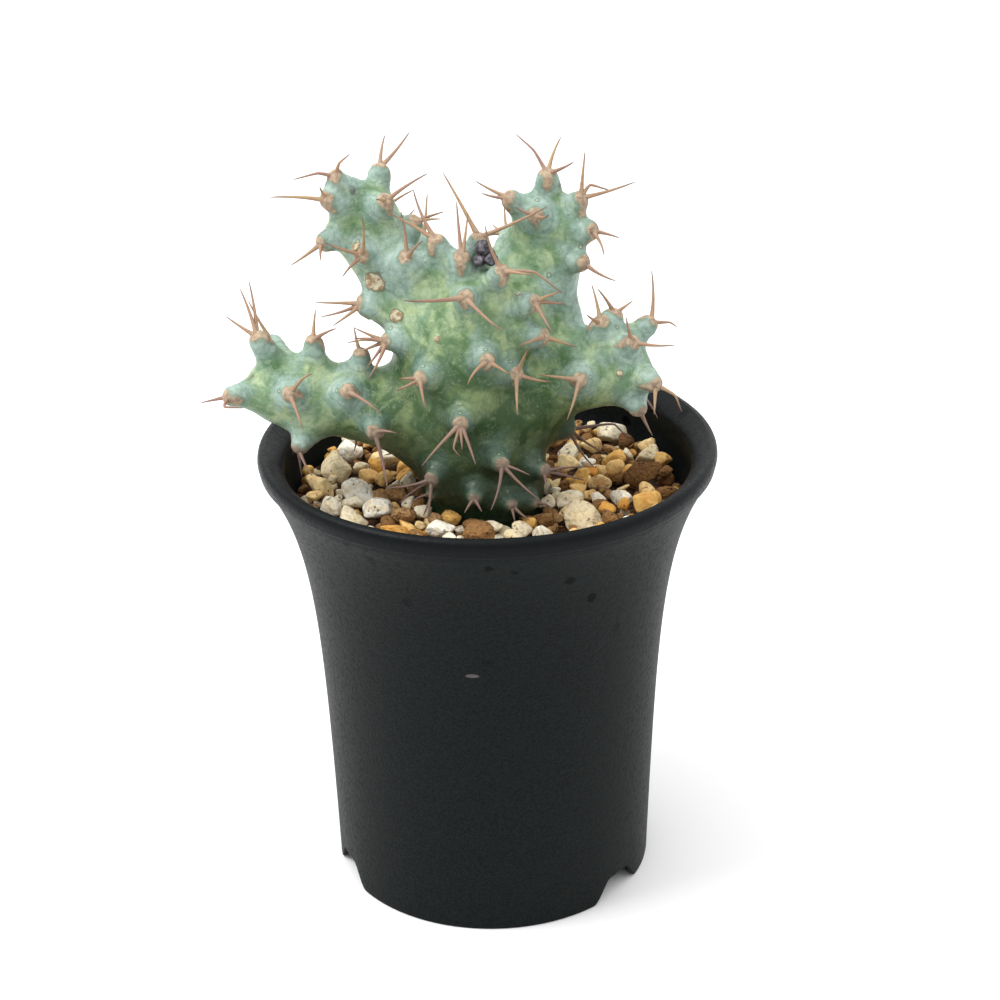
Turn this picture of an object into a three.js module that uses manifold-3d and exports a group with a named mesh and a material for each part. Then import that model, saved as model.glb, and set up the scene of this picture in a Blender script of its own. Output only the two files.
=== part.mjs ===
// Potted euphorbia: a young, spiny, candelabra-forming succulent in a flared plastic pot.
//
// Millimetres, +Z up, the front towards -Y. Everything is laid out about the pot's axis, and
// the whole is then stood with the middle of its bounding box over the origin.
//
// The plant is one column with four side stems. Each stem is a bent, tapering column with
// tubercles on it, and a tuft of spines stands on each tubercle's corky tip.

import * as THREE from 'three';
import { mergeVertices } from 'three/addons/utils/BufferGeometryUtils.js';
import Module from 'manifold-3d';

// ---- Driving dimensions ----

const pot = {
  height: 77.4,
  rimRadius: 37.5,       // widest point of the lip
  lipWidth: 4.2,         // from the mouth to the lip's outer edge
  crestInset: 1.3,       // from the lip's outer edge in to its highest point
  lipDepth: 3.2,         // from the lip's highest point down to the parting line under it
  lipStep: 0.3,          // how far the lip stands proud of the wall
  footRadius: 26.9,
  draft: 0.028,          // how far the wall leans out, per mm of height
  flareHeight: 13.3,     // the flare under the lip fades to a third over this height
  wall: 1.2,
  floorHeight: 5,        // underside of the raised floor
  notchWidth: 10.5,      // arched drain notches in the foot ring
  notchHeight: 4,
  notchTurns: [-68, 52, 172],  // degrees round the pot from the front, + to the right
  drainRadius: 4,        // round hole in the middle of the floor
  slotLength: 9,
  slotWidth: 3,
  slotCount: 6,
};

const headroom = 10;     // from the top of the rim down to the levelled potting mix
const stemSunk = 1.4;    // how far the foot of the stem stands in the mix

const grain = {
  height: 0.7,           // share of a grain's length
  breadth: 0.82,         // share of a grain's length
  roughness: 0.1,        // share of a grain's length that its corners move
};

const gap = 0.3;         // clearance between pieces that touch
const tuberclePitch = 5; // foot radius of a tubercle
const spineRadius = 0.55;
const capsuleRadius = 1.5;

const potFacets = 36;
const wallBands = 7;
const stemFacets = 14;
const stemStep = 4;      // length of one band of facets along a stem
const holeFacets = 14;
const tubercleFacets = 5;
const spineFacets = 3;

// ---- Solids and booleans ----

const wasm = await Module();
wasm.setup();

function solidOf(geometry) {
  const bare = geometry.clone();
  bare.deleteAttribute('normal');
  bare.deleteAttribute('uv');
  const merged = mergeVertices(bare, 1e-4);
  return new wasm.Manifold(new wasm.Mesh({
    numProp: 3,
    vertProperties: new Float32Array(merged.attributes.position.array),
    triVerts: new Uint32Array(merged.index.array),
  }));
}

function geometryOf(solid) {
  const mesh = solid.getMesh();
  const geometry = new THREE.BufferGeometry();
  geometry.setAttribute('position', new THREE.BufferAttribute(mesh.vertProperties, 3));
  geometry.setIndex(new THREE.BufferAttribute(mesh.triVerts, 1));
  return geometry.toNonIndexed();
}

// The biggest body of a solid: a spine tip that a neighbour cuts off is dropped.
function mainBody(solid) {
  return solid.decompose().reduce((a, b) => (a.volume() > b.volume() ? a : b));
}

function degrees(angle) {
  return THREE.MathUtils.degToRad(angle);
}

// A LatheGeometry turned from its own Y axis onto +Z.
function turned(profile, facets) {
  return new THREE.LatheGeometry(profile, facets).rotateX(Math.PI / 2);
}

// A direction `turn` degrees round the pot from the front, + towards the right.
function roundPot(turn, radius, z = 0) {
  const angle = degrees(turn);
  return new THREE.Vector3(radius * Math.sin(angle), -radius * Math.cos(angle), z);
}

// ---- Pot: one moulding, with a rolled lip, a raised floor and a notched foot ring ----

const lipFoot = pot.height - pot.lipDepth;
const mouthRadius = pot.rimRadius - pot.lipWidth;
const floorTop = pot.floorHeight + pot.wall;
const soilLevel = pot.height - headroom;

function outerRadius(z) {
  const straight = pot.footRadius + pot.draft * z;
  const flare = pot.rimRadius - 2 * pot.lipStep - (pot.footRadius + pot.draft * lipFoot);
  return straight + flare * Math.exp((z - lipFoot) / pot.flareHeight);
}

function innerRadius(z) {
  return Math.min(outerRadius(z) - pot.wall, mouthRadius);
}

// Heights up the wall, closer together towards the top, where it flares.
function wallHeights(from, to) {
  const shares = Array.from({ length: wallBands + 1 }, (_, i) => 1 - (1 - i / wallBands) ** 1.6);
  return shares.map((share) => from + (to - from) * share);
}

// The lip's outline from the mouth over its crest to the parting line: it slopes up and out
// from the mouth, and rolls over to the outside.
function lipOutline(grow = 0) {
  const crestRadius = pot.rimRadius - pot.crestInset;
  const top = pot.height + grow;
  const rim = pot.rimRadius + grow;
  const bulge = pot.height - pot.lipDepth / 2;
  const outline = new THREE.Path();
  outline.moveTo(mouthRadius - grow, lipFoot - grow);
  outline.quadraticCurveTo(mouthRadius, lipFoot + pot.lipDepth * 0.4 + grow, crestRadius, top);
  outline.quadraticCurveTo(rim, top, rim, bulge);
  outline.lineTo(rim - pot.lipStep, lipFoot - grow);
  return outline.getPoints(4);
}

function potProfile() {
  const points = [new THREE.Vector2(0, floorTop)];
  for (const z of wallHeights(floorTop, soilLevel)) {
    points.push(new THREE.Vector2(innerRadius(z), z));
  }
  points.push(...lipOutline());
  for (const z of wallHeights(0, lipFoot).reverse()) {
    points.push(new THREE.Vector2(outerRadius(z), z));
  }
  points.push(new THREE.Vector2(outerRadius(0) - pot.wall, 0));
  points.push(new THREE.Vector2(outerRadius(0) - pot.wall, pot.floorHeight));
  points.push(new THREE.Vector2(0, pot.floorHeight));
  return points;
}

function potSolid() {
  let solid = solidOf(turned(potProfile().reverse(), potFacets));
  const archRadius = ((pot.notchWidth / 2) ** 2 + pot.notchHeight ** 2) / (2 * pot.notchHeight);
  for (const turn of pot.notchTurns) {
    const reach = pot.wall * 4;
    const arch = new THREE.CylinderGeometry(archRadius, archRadius, reach, holeFacets);
    arch.rotateZ(degrees(turn));
    const place = roundPot(turn, pot.footRadius, pot.notchHeight - archRadius);
    arch.translate(place.x, place.y, place.z);
    solid = solid.subtract(solidOf(arch));
  }
  const floorMiddle = pot.floorHeight + pot.wall / 2;
  const hole = new THREE.CylinderGeometry(pot.drainRadius, pot.drainRadius, pot.wall * 2, holeFacets);
  hole.rotateX(Math.PI / 2).translate(0, 0, floorMiddle);
  solid = solid.subtract(solidOf(hole));
  for (let i = 0; i < pot.slotCount; i++) {
    const slot = new THREE.BoxGeometry(pot.slotLength, pot.slotWidth, pot.wall * 2);
    slot.translate(pot.footRadius * 0.55, 0, floorMiddle);
    slot.rotateZ((i * 2 * Math.PI) / pot.slotCount);
    solid = solid.subtract(solidOf(slot));
  }
  return solid;
}

// The space that the lip needs, which keeps the stems off it.
function lipClearance() {
  const ring = lipOutline(gap);
  return solidOf(turned([...ring, ring[0]].reverse(), potFacets));
}

// ---- Stems ----

const stemFoot = soilLevel - stemSunk;

// A tubercle stands `along` mm up its stem and `turn` degrees round it, with 0 at the front.
// It rises `rise` mm and leans `lean` degrees towards the stem's tip. Each spine is
// [lift towards the stem's tip, swing sideways, length], in degrees and mm.
function tubercle(along, turn, rise, lean, ...spines) {
  return { along, turn, rise, lean, spines };
}

// Sections of a stem are [x, y, height over the stem's foot, radius].
const stems = {
  main_stem: {
    buried: 30.1,        // rootstock below the stem's foot
    sections: [
      [-0.5, -3, -30, 1.5], [-0.5, -3, -14, 6.5], [-0.5, -3, 0, 10.2], [-1, -3, 8, 11.2],
      [-2.5, -2.5, 19, 12], [-3.2, -1.5, 29, 12.3], [-3, -1, 37, 10.2],
    ],
    tubercles: [
      // front, from the crown down
      tubercle(36, 0, 3.5, 20, [-5, -55, 11.5], [-35, 50, 9]),
      tubercle(29, 15, 2.5, 5, [-25, -55, 6], [-30, 55, 4]),
      tubercle(25.5, 35, 2.5, 5, [55, 5, 5.5], [-20, 55, 5.5], [-45, -45, 7.5]),
      tubercle(26, -30, 2.5, 5, [5, -60, 3], [-35, 45, 6]),
      tubercle(20.5, -5, 3, 0, [-30, -50, 9], [-50, 30, 7]),
      tubercle(14.5, 17, 3.5, -5, [-40, -45, 7.5], [-20, 55, 4.5], [-40, 40, 8]),
      tubercle(10.5, 50, 3, -5, [-20, -55, 4], [-25, 55, 6.5]),
      tubercle(13, -32, 3, -5, [5, -55, 7], [-25, -55, 6]),
      tubercle(8, -5, 2, 0, [-20, -30, 3], [-20, 30, 3]),
      // crown
      tubercle(35.5, -60, 4, 40, [50, -20, 7], [20, 65, 8.5]),
      tubercle(34.5, -40, 5, 60, [30, -50, 8.5], [-10, -55, 8]),
      tubercle(32.5, -5, 4, 60, [55, -15, 8.5]),
      tubercle(31, 30, 6, 75, [55, -20, 11.5], [-25, 55, 11.5]),
      tubercle(33, 30, 5, 45, [-45, 40, 9], [50, -35, 7.5]),
      tubercle(34, 50, 4.5, 20, [-20, 50, 4.5], [-50, -35, 6.5]),
      tubercle(30, 55, 4, 10, [5, -85, 9]),
      tubercle(29.5, -78, 6.5, 25, [-25, -25, 7], [-60, 20, 5.5]),
      tubercle(33, -70, 4, 40),
      tubercle(31.5, -62, 3, 0, [-10, -55, 6.5], [-40, 40, 7]),
      // shoulders and back
      tubercle(17.5, 95, 5, -20, [10, 25, 8], [-45, -30, 7]),
      tubercle(33, 95, 5, 20, [15, 35, 6]),
      tubercle(29, 100, 6, 10, [-30, -60, 3.5], [-60, -35, 2.5]),
      tubercle(34, 140, 4, 40, [20, -30, 7], [10, 40, 8]),
      tubercle(34, -140, 4, 40, [20, -30, 8], [10, 40, 6]),
      tubercle(27, 180, 3, 10, [10, -40, 8], [-15, 40, 7]),
      tubercle(21, 150, 3, 5, [5, -40, 7], [-10, 40, 8]),
      tubercle(21, -150, 3, 5, [5, -40, 8], [-10, 40, 6]),
      tubercle(13, 180, 3, 0, [0, -40, 7], [-10, 40, 7]),
      tubercle(9, 125, 2.5, 0, [10, -40, 5], [0, 40, 6]),
      tubercle(9, -125, 2.5, 0, [10, -40, 6], [0, 40, 5]),
    ],
  },
  arm_left: {
    buried: 0,
    sections: [
      [-10, -4, 16.5, 7.6], [-17, -4, 19, 7], [-23.5, -4, 20.4, 6.5], [-31.5, -3.5, 22.1, 6.8],
      [-36, -3, 23.1, 5.8],
    ],
    tubercles: [
      tubercle(22, -5, 5, 55, [40, -45, 4.5], [-65, -10, 6.5]),
      tubercle(21.5, 70, 6, 35, [0, 55, 9], [10, 50, 8], [45, 30, 5.5]),
      tubercle(20, 20, 2.5, 10, [-35, 45, 7], [-35, -50, 7.5]),
      tubercle(13, 35, 2.5, 0, [-45, -40, 8]),
      tubercle(18, 80, 4.5, 10, [0, 50, 4.5], [-45, -40, 6]),
      tubercle(12, 80, 3.5, 0, [25, 50, 4]),
      tubercle(16.5, -50, 3.5, 15, [-30, -50, 4.5], [-50, 35, 5.5]),
      tubercle(8, 0, 3.5, 0, [-45, 40, 4.5], [-25, -55, 9]),
      tubercle(22, 150, 4.5, 30, [20, -40, 7], [0, 40, 6]),
      tubercle(15, 180, 3, 5, [10, 0, 6], [-10, 40, 5]),
      tubercle(19, -120, 3.5, 15, [-30, -30, 4], [-30, 30, 5]),
      tubercle(10, -140, 3, 0, [0, 40, 6]),
    ],
  },
  arm_right: {
    buried: 0,
    sections: [
      [4, -2.5, 19, 8], [11.5, -3, 23.5, 7.2], [18, -3.5, 25, 6.9], [23.5, -4, 26.5, 6.2],
    ],
    tubercles: [
      tubercle(14, -70, 4, 20, [-20, -55, 6], [-40, 40, 4.5]),
      tubercle(14.5, -85, 4.5, 30, [-50, 25, 5.5], [45, -30, 3]),
      tubercle(15, -105, 5.5, 60, [-50, -30, 8], [45, 30, 5]),
      tubercle(16, -45, 4, 40, [-35, -45, 4.5], [50, 30, 6.5]),
      tubercle(19, 10, 4, 35, [-45, 40, 5], [15, 55, 5.5]),
      tubercle(13, -15, 2.5, 0, [-50, -30, 7.5], [-20, 55, 7]),
      tubercle(18.5, 45, 3, 15, [0, 40, 4]),
      tubercle(15, 180, 3.5, 10, [-10, -15, 5], [0, 30, 5]),
      tubercle(12, 150, 3, 5, [10, -40, 7], [-10, 40, 5]),
      tubercle(18, 110, 3.5, 15, [10, -40, 5], [-10, 40, 5]),
      tubercle(10, -150, 3, 5, [10, -40, 6]),
    ],
  },
  arm_upper_left: {
    buried: 0,
    sections: [[-10, 1, 35, 6.2], [-15.5, 2, 41.5, 6], [-18, 3, 46.5, 5.8], [-20, 3.5, 52, 5]],
    tubercles: [
      tubercle(17.5, -10, 5, 55, [-15, -55, 6.5], [0, 55, 5]),
      tubercle(13, 100, 6, 60, [-5, 45, 6], [-30, 50, 9]),
      tubercle(19, -25, 4, 25, [10, -55, 8.5], [50, 15, 2.5]),
      tubercle(15, 40, 4, 25, [-5, 55, 7.5], [5, -55, 3.5]),
      tubercle(15.5, -50, 4, 5, [-20, -55, 6], [-25, 55, 4.5]),
      tubercle(10, 60, 4.5, 15, [-25, 50, 4.5], [-40, 20, 4]),
      tubercle(12, -10, 2.5, 0, [40, 45, 9], [45, -45, 6.5]),
      tubercle(13.5, 165, 3.5, 15, [-10, -40, 6], [-25, 40, 5]),
      tubercle(14, -135, 3, 5, [0, -20, 5], [-20, 30, 4]),
      tubercle(11, 170, 3, 5, [10, -40, 6], [-10, 40, 7]),
    ],
  },
  arm_upper_right: {
    buried: 0,
    sections: [[7, 3, 32, 6.4], [9.5, 4, 37, 5.9], [10, 5, 43, 6.4], [10, 6, 49, 5.6]],
    tubercles: [
      tubercle(13.5, 0, 6, 65, [35, -50, 8], [50, 35, 6], [-30, 50, 6]),
      tubercle(13.5, 40, 5, 40, [55, 15, 7], [-10, 55, 8.5]),
      tubercle(14.5, -45, 5, 35, [5, -55, 5.5], [-15, -55, 4]),
      tubercle(15, -15, 2.5, 20, [15, -55, 3.5], [-5, 55, 3.5]),
      tubercle(13.5, 45, 4.5, 10, [-25, 50, 4], [-45, -35, 5.5]),
      tubercle(10.5, 35, 4, 0, [-30, 50, 5.5]),
      tubercle(11.5, 165, 3.5, 15, [-10, -40, 6], [-20, 40, 5]),
      tubercle(12, -135, 3, 5, [0, -20, 5], [-20, 30, 4]),
      tubercle(10, 170, 3, 5, [10, -40, 6], [-10, 40, 6]),
    ],
  },
};

// A stem's axis as a curve, with its radius and a frame at any distance along it.
function axisOf(stem) {
  const points = stem.sections.map(([x, y, z]) => new THREE.Vector3(x, y, stemFoot + z));
  const curve = new THREE.CatmullRomCurve3(points, false, 'centripetal');
  const length = curve.getLength();
  const reach = [0];
  for (let i = 1; i < points.length; i++) {
    reach.push(reach[i - 1] + points[i].distanceTo(points[i - 1]));
  }
  const radiusAt = (distance) => {
    const d = THREE.MathUtils.clamp(distance, 0, reach.at(-1));
    const i = Math.max(1, reach.findIndex((r) => r >= d - 1e-6));
    const share = (d - reach[i - 1]) / (reach[i] - reach[i - 1]);
    return THREE.MathUtils.lerp(stem.sections[i - 1][3], stem.sections[i][3], share);
  };
  const frameAt = (distance) => {
    const share = THREE.MathUtils.clamp(distance / length, 0, 1);
    const tangent = curve.getTangentAt(share);
    const front = new THREE.Vector3(0, -1, 0).addScaledVector(tangent, tangent.y).normalize();
    const side = new THREE.Vector3().crossVectors(tangent, front);
    return { point: curve.getPointAt(share), tangent, front, side };
  };
  return { length, radiusAt, frameAt };
}

// The bare column of a stem: a turned profile with a round end, bent along the stem's axis.
function column(stem, grow) {
  const { length, radiusAt, frameAt } = axisOf(stem);
  const profile = [new THREE.Vector2(0, -grow)];
  const bands = Math.ceil(length / stemStep);
  for (let i = 0; i <= bands; i++) {
    const distance = (length * i) / bands;
    profile.push(new THREE.Vector2(radiusAt(distance) + grow, i === 0 ? -grow : distance));
  }
  const tip = radiusAt(length) + grow;
  for (const turn of [40, 70]) {
    const reach = length + tip * 0.75 * Math.sin(degrees(turn));
    profile.push(new THREE.Vector2(tip * Math.cos(degrees(turn)), reach));
  }
  profile.push(new THREE.Vector2(0, length + tip * 0.75));
  const geometry = new THREE.LatheGeometry(profile, stemFacets);
  const position = geometry.attributes.position;
  for (let i = 0; i < position.count; i++) {
    const distance = position.getY(i);
    const { point, tangent, front, side } = frameAt(distance);
    const beyond = distance - THREE.MathUtils.clamp(distance, 0, length);
    point.addScaledVector(front, position.getZ(i));
    point.addScaledVector(side, position.getX(i));
    point.addScaledVector(tangent, beyond);
    position.setXYZ(i, point.x, point.y, point.z);
  }
  return solidOf(geometry);
}

// A cone from one point towards another, with a blunt end where `tipRadius` isn't 0.
function spike(from, to, footRadius, tipRadius, facets) {
  const length = from.distanceTo(to);
  const geometry = new THREE.CylinderGeometry(tipRadius, footRadius, length, facets);
  geometry.translate(0, length / 2, 0);
  const direction = to.clone().sub(from).normalize();
  const turn = new THREE.Quaternion().setFromUnitVectors(new THREE.Vector3(0, 1, 0), direction);
  geometry.applyQuaternion(turn);
  geometry.translate(from.x, from.y, from.z);
  return solidOf(geometry);
}

// Everything on one tubercle: the mound, its corky tip and its spines.
function tubercleSolids(stem, bump, grow) {
  const { radiusAt, frameAt } = axisOf(stem);
  const distance = bump.along + stem.buried;
  const { point, tangent, front, side } = frameAt(distance);
  const turn = degrees(bump.turn);
  const normal = front.clone().multiplyScalar(Math.cos(turn)).addScaledVector(side, Math.sin(turn));
  const round = new THREE.Vector3().crossVectors(tangent, normal);
  const lean = degrees(bump.lean);
  const out = normal.clone().multiplyScalar(Math.cos(lean)).addScaledVector(tangent, Math.sin(lean));
  const up = tangent.clone().multiplyScalar(Math.cos(lean)).addScaledVector(normal, -Math.sin(lean));
  const radius = radiusAt(distance);
  const areole = point.clone().addScaledVector(out, radius + bump.rise);
  const root = point.clone().addScaledVector(out, radius * 0.55);
  const crown = areole.clone().addScaledVector(out, grow);
  const solids = [spike(root, crown, tuberclePitch + grow, 1.3 + grow, tubercleFacets)];
  for (const [lift, swing, length] of bump.spines) {
    const rise = degrees(lift);
    const sideways = degrees(swing);
    const direction = out.clone().multiplyScalar(Math.cos(rise) * Math.cos(sideways));
    direction.addScaledVector(round, Math.cos(rise) * Math.sin(sideways));
    direction.addScaledVector(up, Math.sin(rise));
    const foot = areole.clone().addScaledVector(out, -1);
    const end = foot.clone().addScaledVector(direction, length + 1 + grow);
    solids.push(spike(foot, end, spineRadius * 1.6 + grow, grow, spineFacets));
  }
  return solids;
}

// A whole stem, grown outwards by `grow` where it is the shape that a neighbour is cut by.
function stemSolid(stem, grow = 0) {
  let solid = column(stem, grow);
  for (const bump of stem.tubercles) {
    solid = tubercleSolids(stem, bump, grow).reduce((whole, piece) => whole.add(piece), solid);
  }
  return solid;
}

// ---- Potting mix: a levelled bed inside the pot, with a socket for the rootstock ----

function mixSolid() {
  const points = [new THREE.Vector2(0, floorTop + gap)];
  for (const z of wallHeights(floorTop, soilLevel)) {
    points.push(new THREE.Vector2(innerRadius(z) - gap, Math.max(z, floorTop + gap)));
  }
  points.push(new THREE.Vector2(0, soilLevel));
  return solidOf(turned(points, potFacets)).subtract(column(stems.main_stem, gap));
}

// ---- Loose grains on top of the mix ----

// Each grain is [kind, x, y, length], laid out in a pot whose mix has this radius.
const bedRadius = 33;
const grains = [
  ['pumice', -24, 13, 5.5], ['pumice', -26, 6, 6.5], ['kanuma', -27.5, -1, 6],
  ['pumice', -26, -7, 4], ['pumice', -22.5, -3, 6], ['kanuma', -20, 4, 4.5],
  ['pumice', -21.5, -13, 5.5], ['pumice', -18.5, -9, 5], ['kanuma', -15, -17, 5],
  ['akadama', -14, -11.5, 5], ['kanuma', -14, 5, 4], ['akadama', -15.5, -2.5, 4.5],
  ['pumice', -7.5, -17.5, 5], ['akadama', -1.5, -20, 5.5], ['pumice', 4, -20, 4],
  ['pumice', 9, -18.5, 4.5], ['pumice', 16, -14.5, 6.5], ['pumice', 14, -7, 5],
  ['akadama', 18.5, -8, 4.5], ['akadama', 26.5, 1.5, 7], ['pumice', 22, 20, 5.5],
  ['pumice', 28, 11, 5], ['kanuma', 14, 8, 4.5], ['kanuma', 19, 1.5, 4.5],
  ['kanuma', 18, 16, 4], ['akadama', 12, 19, 5], ['pumice', 14, 13, 4],
  ['kanuma', 21.5, 9.5, 5], ['pumice', 22, -6, 4], ['kanuma', 26, -8, 5],
  ['akadama', 22, -13, 5], ['kanuma', 15, -1.5, 3.5], ['pumice', 5, 24, 5],
  ['akadama', 4, 16, 5.5], ['kanuma', -2, 20, 5], ['pumice', -9, 25, 5.5],
  ['akadama', -10, 16, 5], ['kanuma', -17, 20, 5], ['kanuma', -1, 28, 4.5],
  ['pumice', -17, 11, 4.5],
];

// Grains are pushed apart, off the stem and off the wall until each lies clear.
function settledGrains() {
  const [stemX, stemY] = stems.main_stem.sections[2];
  const stemRadius = stems.main_stem.sections[2][3] + 1.2;
  const outer = innerRadius(soilLevel) - gap;
  const spots = grains.map(([kind, x, y, length]) => {
    const place = new THREE.Vector2(x, y).multiplyScalar(outer / bedRadius);
    return { kind, place, length, reach: length / 2 + gap };
  });
  for (let round = 0; round < 400; round++) {
    for (const [i, a] of spots.entries()) {
      for (const b of spots.slice(i + 1)) {
        const apart = b.place.clone().sub(a.place);
        const overlap = a.reach + b.reach - apart.length();
        if (overlap > 0) {
          apart.setLength(overlap / 2);
          a.place.sub(apart);
          b.place.add(apart);
        }
      }
      const fromStem = a.place.clone().sub(new THREE.Vector2(stemX, stemY));
      const nearest = stemRadius + a.reach;
      if (fromStem.length() < nearest) {
        a.place.add(fromStem.setLength(nearest - fromStem.length()));
      }
      a.place.clampLength(0, outer - a.reach);
    }
  }
  return spots;
}

// A broken lump: a twelve-sided solid squashed to the grain's size, its corners moved a little.
function grainGeometry(length, seed) {
  const lump = new THREE.DodecahedronGeometry(0.5, 0);
  const position = lump.attributes.position;
  for (let i = 0; i < position.count; i++) {
    const corner = new THREE.Vector3().fromBufferAttribute(position, i);
    const dent = 1 + grain.roughness * (Math.sin(corner.x * 9 + seed) + Math.cos(corner.y * 8 - seed * 2));
    corner.multiplyScalar(dent);
    position.setXYZ(i, corner.x, corner.y, corner.z);
  }
  lump.computeBoundingBox();
  const size = lump.boundingBox.getSize(new THREE.Vector3());
  lump.scale(length / size.x, (length * grain.breadth) / size.y, (length * grain.height) / size.z);
  return lump.rotateZ(seed * 2.4);
}

// ---- Materials ----

const finishes = {
  pot: { color: '#23292b', roughness: 0.45 },
  skin: { color: '#7d9e84', roughness: 0.5 },
  capsule: { color: '#3b3638', roughness: 0.7 },
  mix: { color: '#4d3725', roughness: 0.95 },
  pumice: { color: '#e4dcc4', roughness: 0.9 },
  kanuma: { color: '#cf9e4f', roughness: 0.9 },
  akadama: { color: '#81552f', roughness: 0.95 },
};

// ---- Assembly ----

const plant = new THREE.Group();

function place(name, solid, finish) {
  const material = new THREE.MeshStandardMaterial({ ...finishes[finish], metalness: 0 });
  const mesh = new THREE.Mesh(geometryOf(solid), material);
  mesh.name = name;
  plant.add(mesh);
}

place('pot', potSolid(), 'pot');
place('potting_mix', mixSolid(), 'mix');

// Each stem is cut back by the lip and by the stems placed before it, so they meet with a gap.
let taken = lipClearance();
for (const [name, stem] of Object.entries(stems)) {
  place(name, mainBody(stemSolid(stem).subtract(taken)), 'skin');
  taken = taken.add(stemSolid(stem, gap));
}

// Four dried flower capsules, withered together, sit among the crown's tubercles.
const crown = axisOf(stems.main_stem).frameAt(Infinity).point;
const capsules = [[2.1, -5, 9], [1.8, -6.8, 8], [4, -6.4, 8], [3, -5.5, 9.8]].map(([x, y, z]) => {
  const capsule = new THREE.IcosahedronGeometry(capsuleRadius, 0);
  return solidOf(capsule.translate(crown.x + x, crown.y + y, crown.z + z));
});
const cluster = capsules.reduce((whole, capsule) => whole.add(capsule));
place('dried_capsules', mainBody(cluster.subtract(taken)), 'capsule');

const counts = {};
for (const [i, { kind, place: spot, length }] of settledGrains().entries()) {
  counts[kind] = (counts[kind] ?? 0) + 1;
  const lump = grainGeometry(length, i + 1);
  lump.computeBoundingBox();
  lump.translate(spot.x, spot.y, soilLevel + gap - lump.boundingBox.min.z);
  const clear = mainBody(solidOf(lump).subtract(taken));
  place(`${kind}_grain_${String(counts[kind]).padStart(2, '0')}`, clear, kind);
}

// Stand the whole thing on z = 0, with the middle of its bounding box over the origin.
const box = new THREE.Box3().setFromObject(plant, true);
const middle = box.getCenter(new THREE.Vector3());
plant.position.set(-middle.x, -middle.y, -box.min.z);

const object = new THREE.Group();
object.add(plant);

export default object;
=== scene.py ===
import math

import bpy
import numpy as np
from mathutils import Matrix, Vector


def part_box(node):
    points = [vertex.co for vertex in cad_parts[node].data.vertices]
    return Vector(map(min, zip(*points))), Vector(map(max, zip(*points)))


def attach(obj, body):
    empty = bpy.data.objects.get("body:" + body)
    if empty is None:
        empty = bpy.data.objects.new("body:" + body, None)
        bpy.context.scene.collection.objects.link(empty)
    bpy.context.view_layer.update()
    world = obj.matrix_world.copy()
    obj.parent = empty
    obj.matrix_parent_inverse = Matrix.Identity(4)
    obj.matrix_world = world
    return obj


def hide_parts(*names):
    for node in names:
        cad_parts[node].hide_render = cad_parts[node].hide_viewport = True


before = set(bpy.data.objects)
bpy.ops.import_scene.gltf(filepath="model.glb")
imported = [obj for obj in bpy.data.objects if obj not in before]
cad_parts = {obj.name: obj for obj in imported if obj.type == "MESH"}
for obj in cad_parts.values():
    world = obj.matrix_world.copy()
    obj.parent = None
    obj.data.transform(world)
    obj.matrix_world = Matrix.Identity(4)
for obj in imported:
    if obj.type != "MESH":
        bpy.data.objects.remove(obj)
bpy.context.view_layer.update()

# ======== Table, light and camera ========
# The pot stands on a pale matt table in an even white room that is brightest overhead. One large
# soft lamp hangs up on the left.

MM = 0.001
pot_low, pot_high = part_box("pot")
pot_axis = Vector(((pot_low.x + pot_high.x) / 2, (pot_low.y + pot_high.y) / 2, pot_low.z))


def paint(red, green, blue):
    """A colour given as on a paint chart, 0 to 255, as the light that it gives back."""
    shares = [value / 255 for value in (red, green, blue)]
    return (*[s / 12.92 if s < 0.04 else ((s + 0.055) / 1.055) ** 2.4 for s in shares], 1)


def add_node(tree, kind, inputs=None, **settings):
    """A node with its settings, and with each input given as a value or as a socket to join."""
    made = tree.nodes.new(kind)
    for name, value in settings.items():
        setattr(made, name, value)
    for key, value in (inputs or {}).items():
        if isinstance(value, bpy.types.NodeSocket):
            tree.links.new(value, made.inputs[key])
        else:
            made.inputs[key].default_value = value
    return made


def new_material(name, **values):
    """A material and its shader; the values are the shader's own, with _ for each space."""
    material = bpy.data.materials.new(name)
    material.use_nodes = True
    shader = material.node_tree.nodes["Principled BSDF"]
    for key, value in values.items():
        shader.inputs[key.replace("_", " ")].default_value = value
    return material, material.node_tree, shader


def vector_maths(tree, operation, first, second=(0, 0, 0)):
    made = add_node(tree, "ShaderNodeVectorMath", {0: first, 1: second}, operation=operation)
    return made.outputs["Value" if operation in ("DOT_PRODUCT", "LENGTH") else "Vector"]


def put_in_scene(name, shown):
    """An object that shows a mesh, a light or a camera."""
    made = bpy.data.objects.new(name, shown)
    bpy.context.collection.objects.link(made)
    return made


HALF_TABLE = 3.0
table_mesh = bpy.data.meshes.new("table")
table_mesh.from_pydata([(x * HALF_TABLE, y * HALF_TABLE, 0) for x, y in
                        ((-1, -1), (1, -1), (1, 1), (-1, 1))], [], [(0, 1, 2, 3)])
table = put_in_scene("table", table_mesh)
table_paint, _, _ = new_material("table_paint", Base_Color=paint(228, 228, 228), Roughness=0.8)
table_mesh.materials.append(table_paint)

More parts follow.
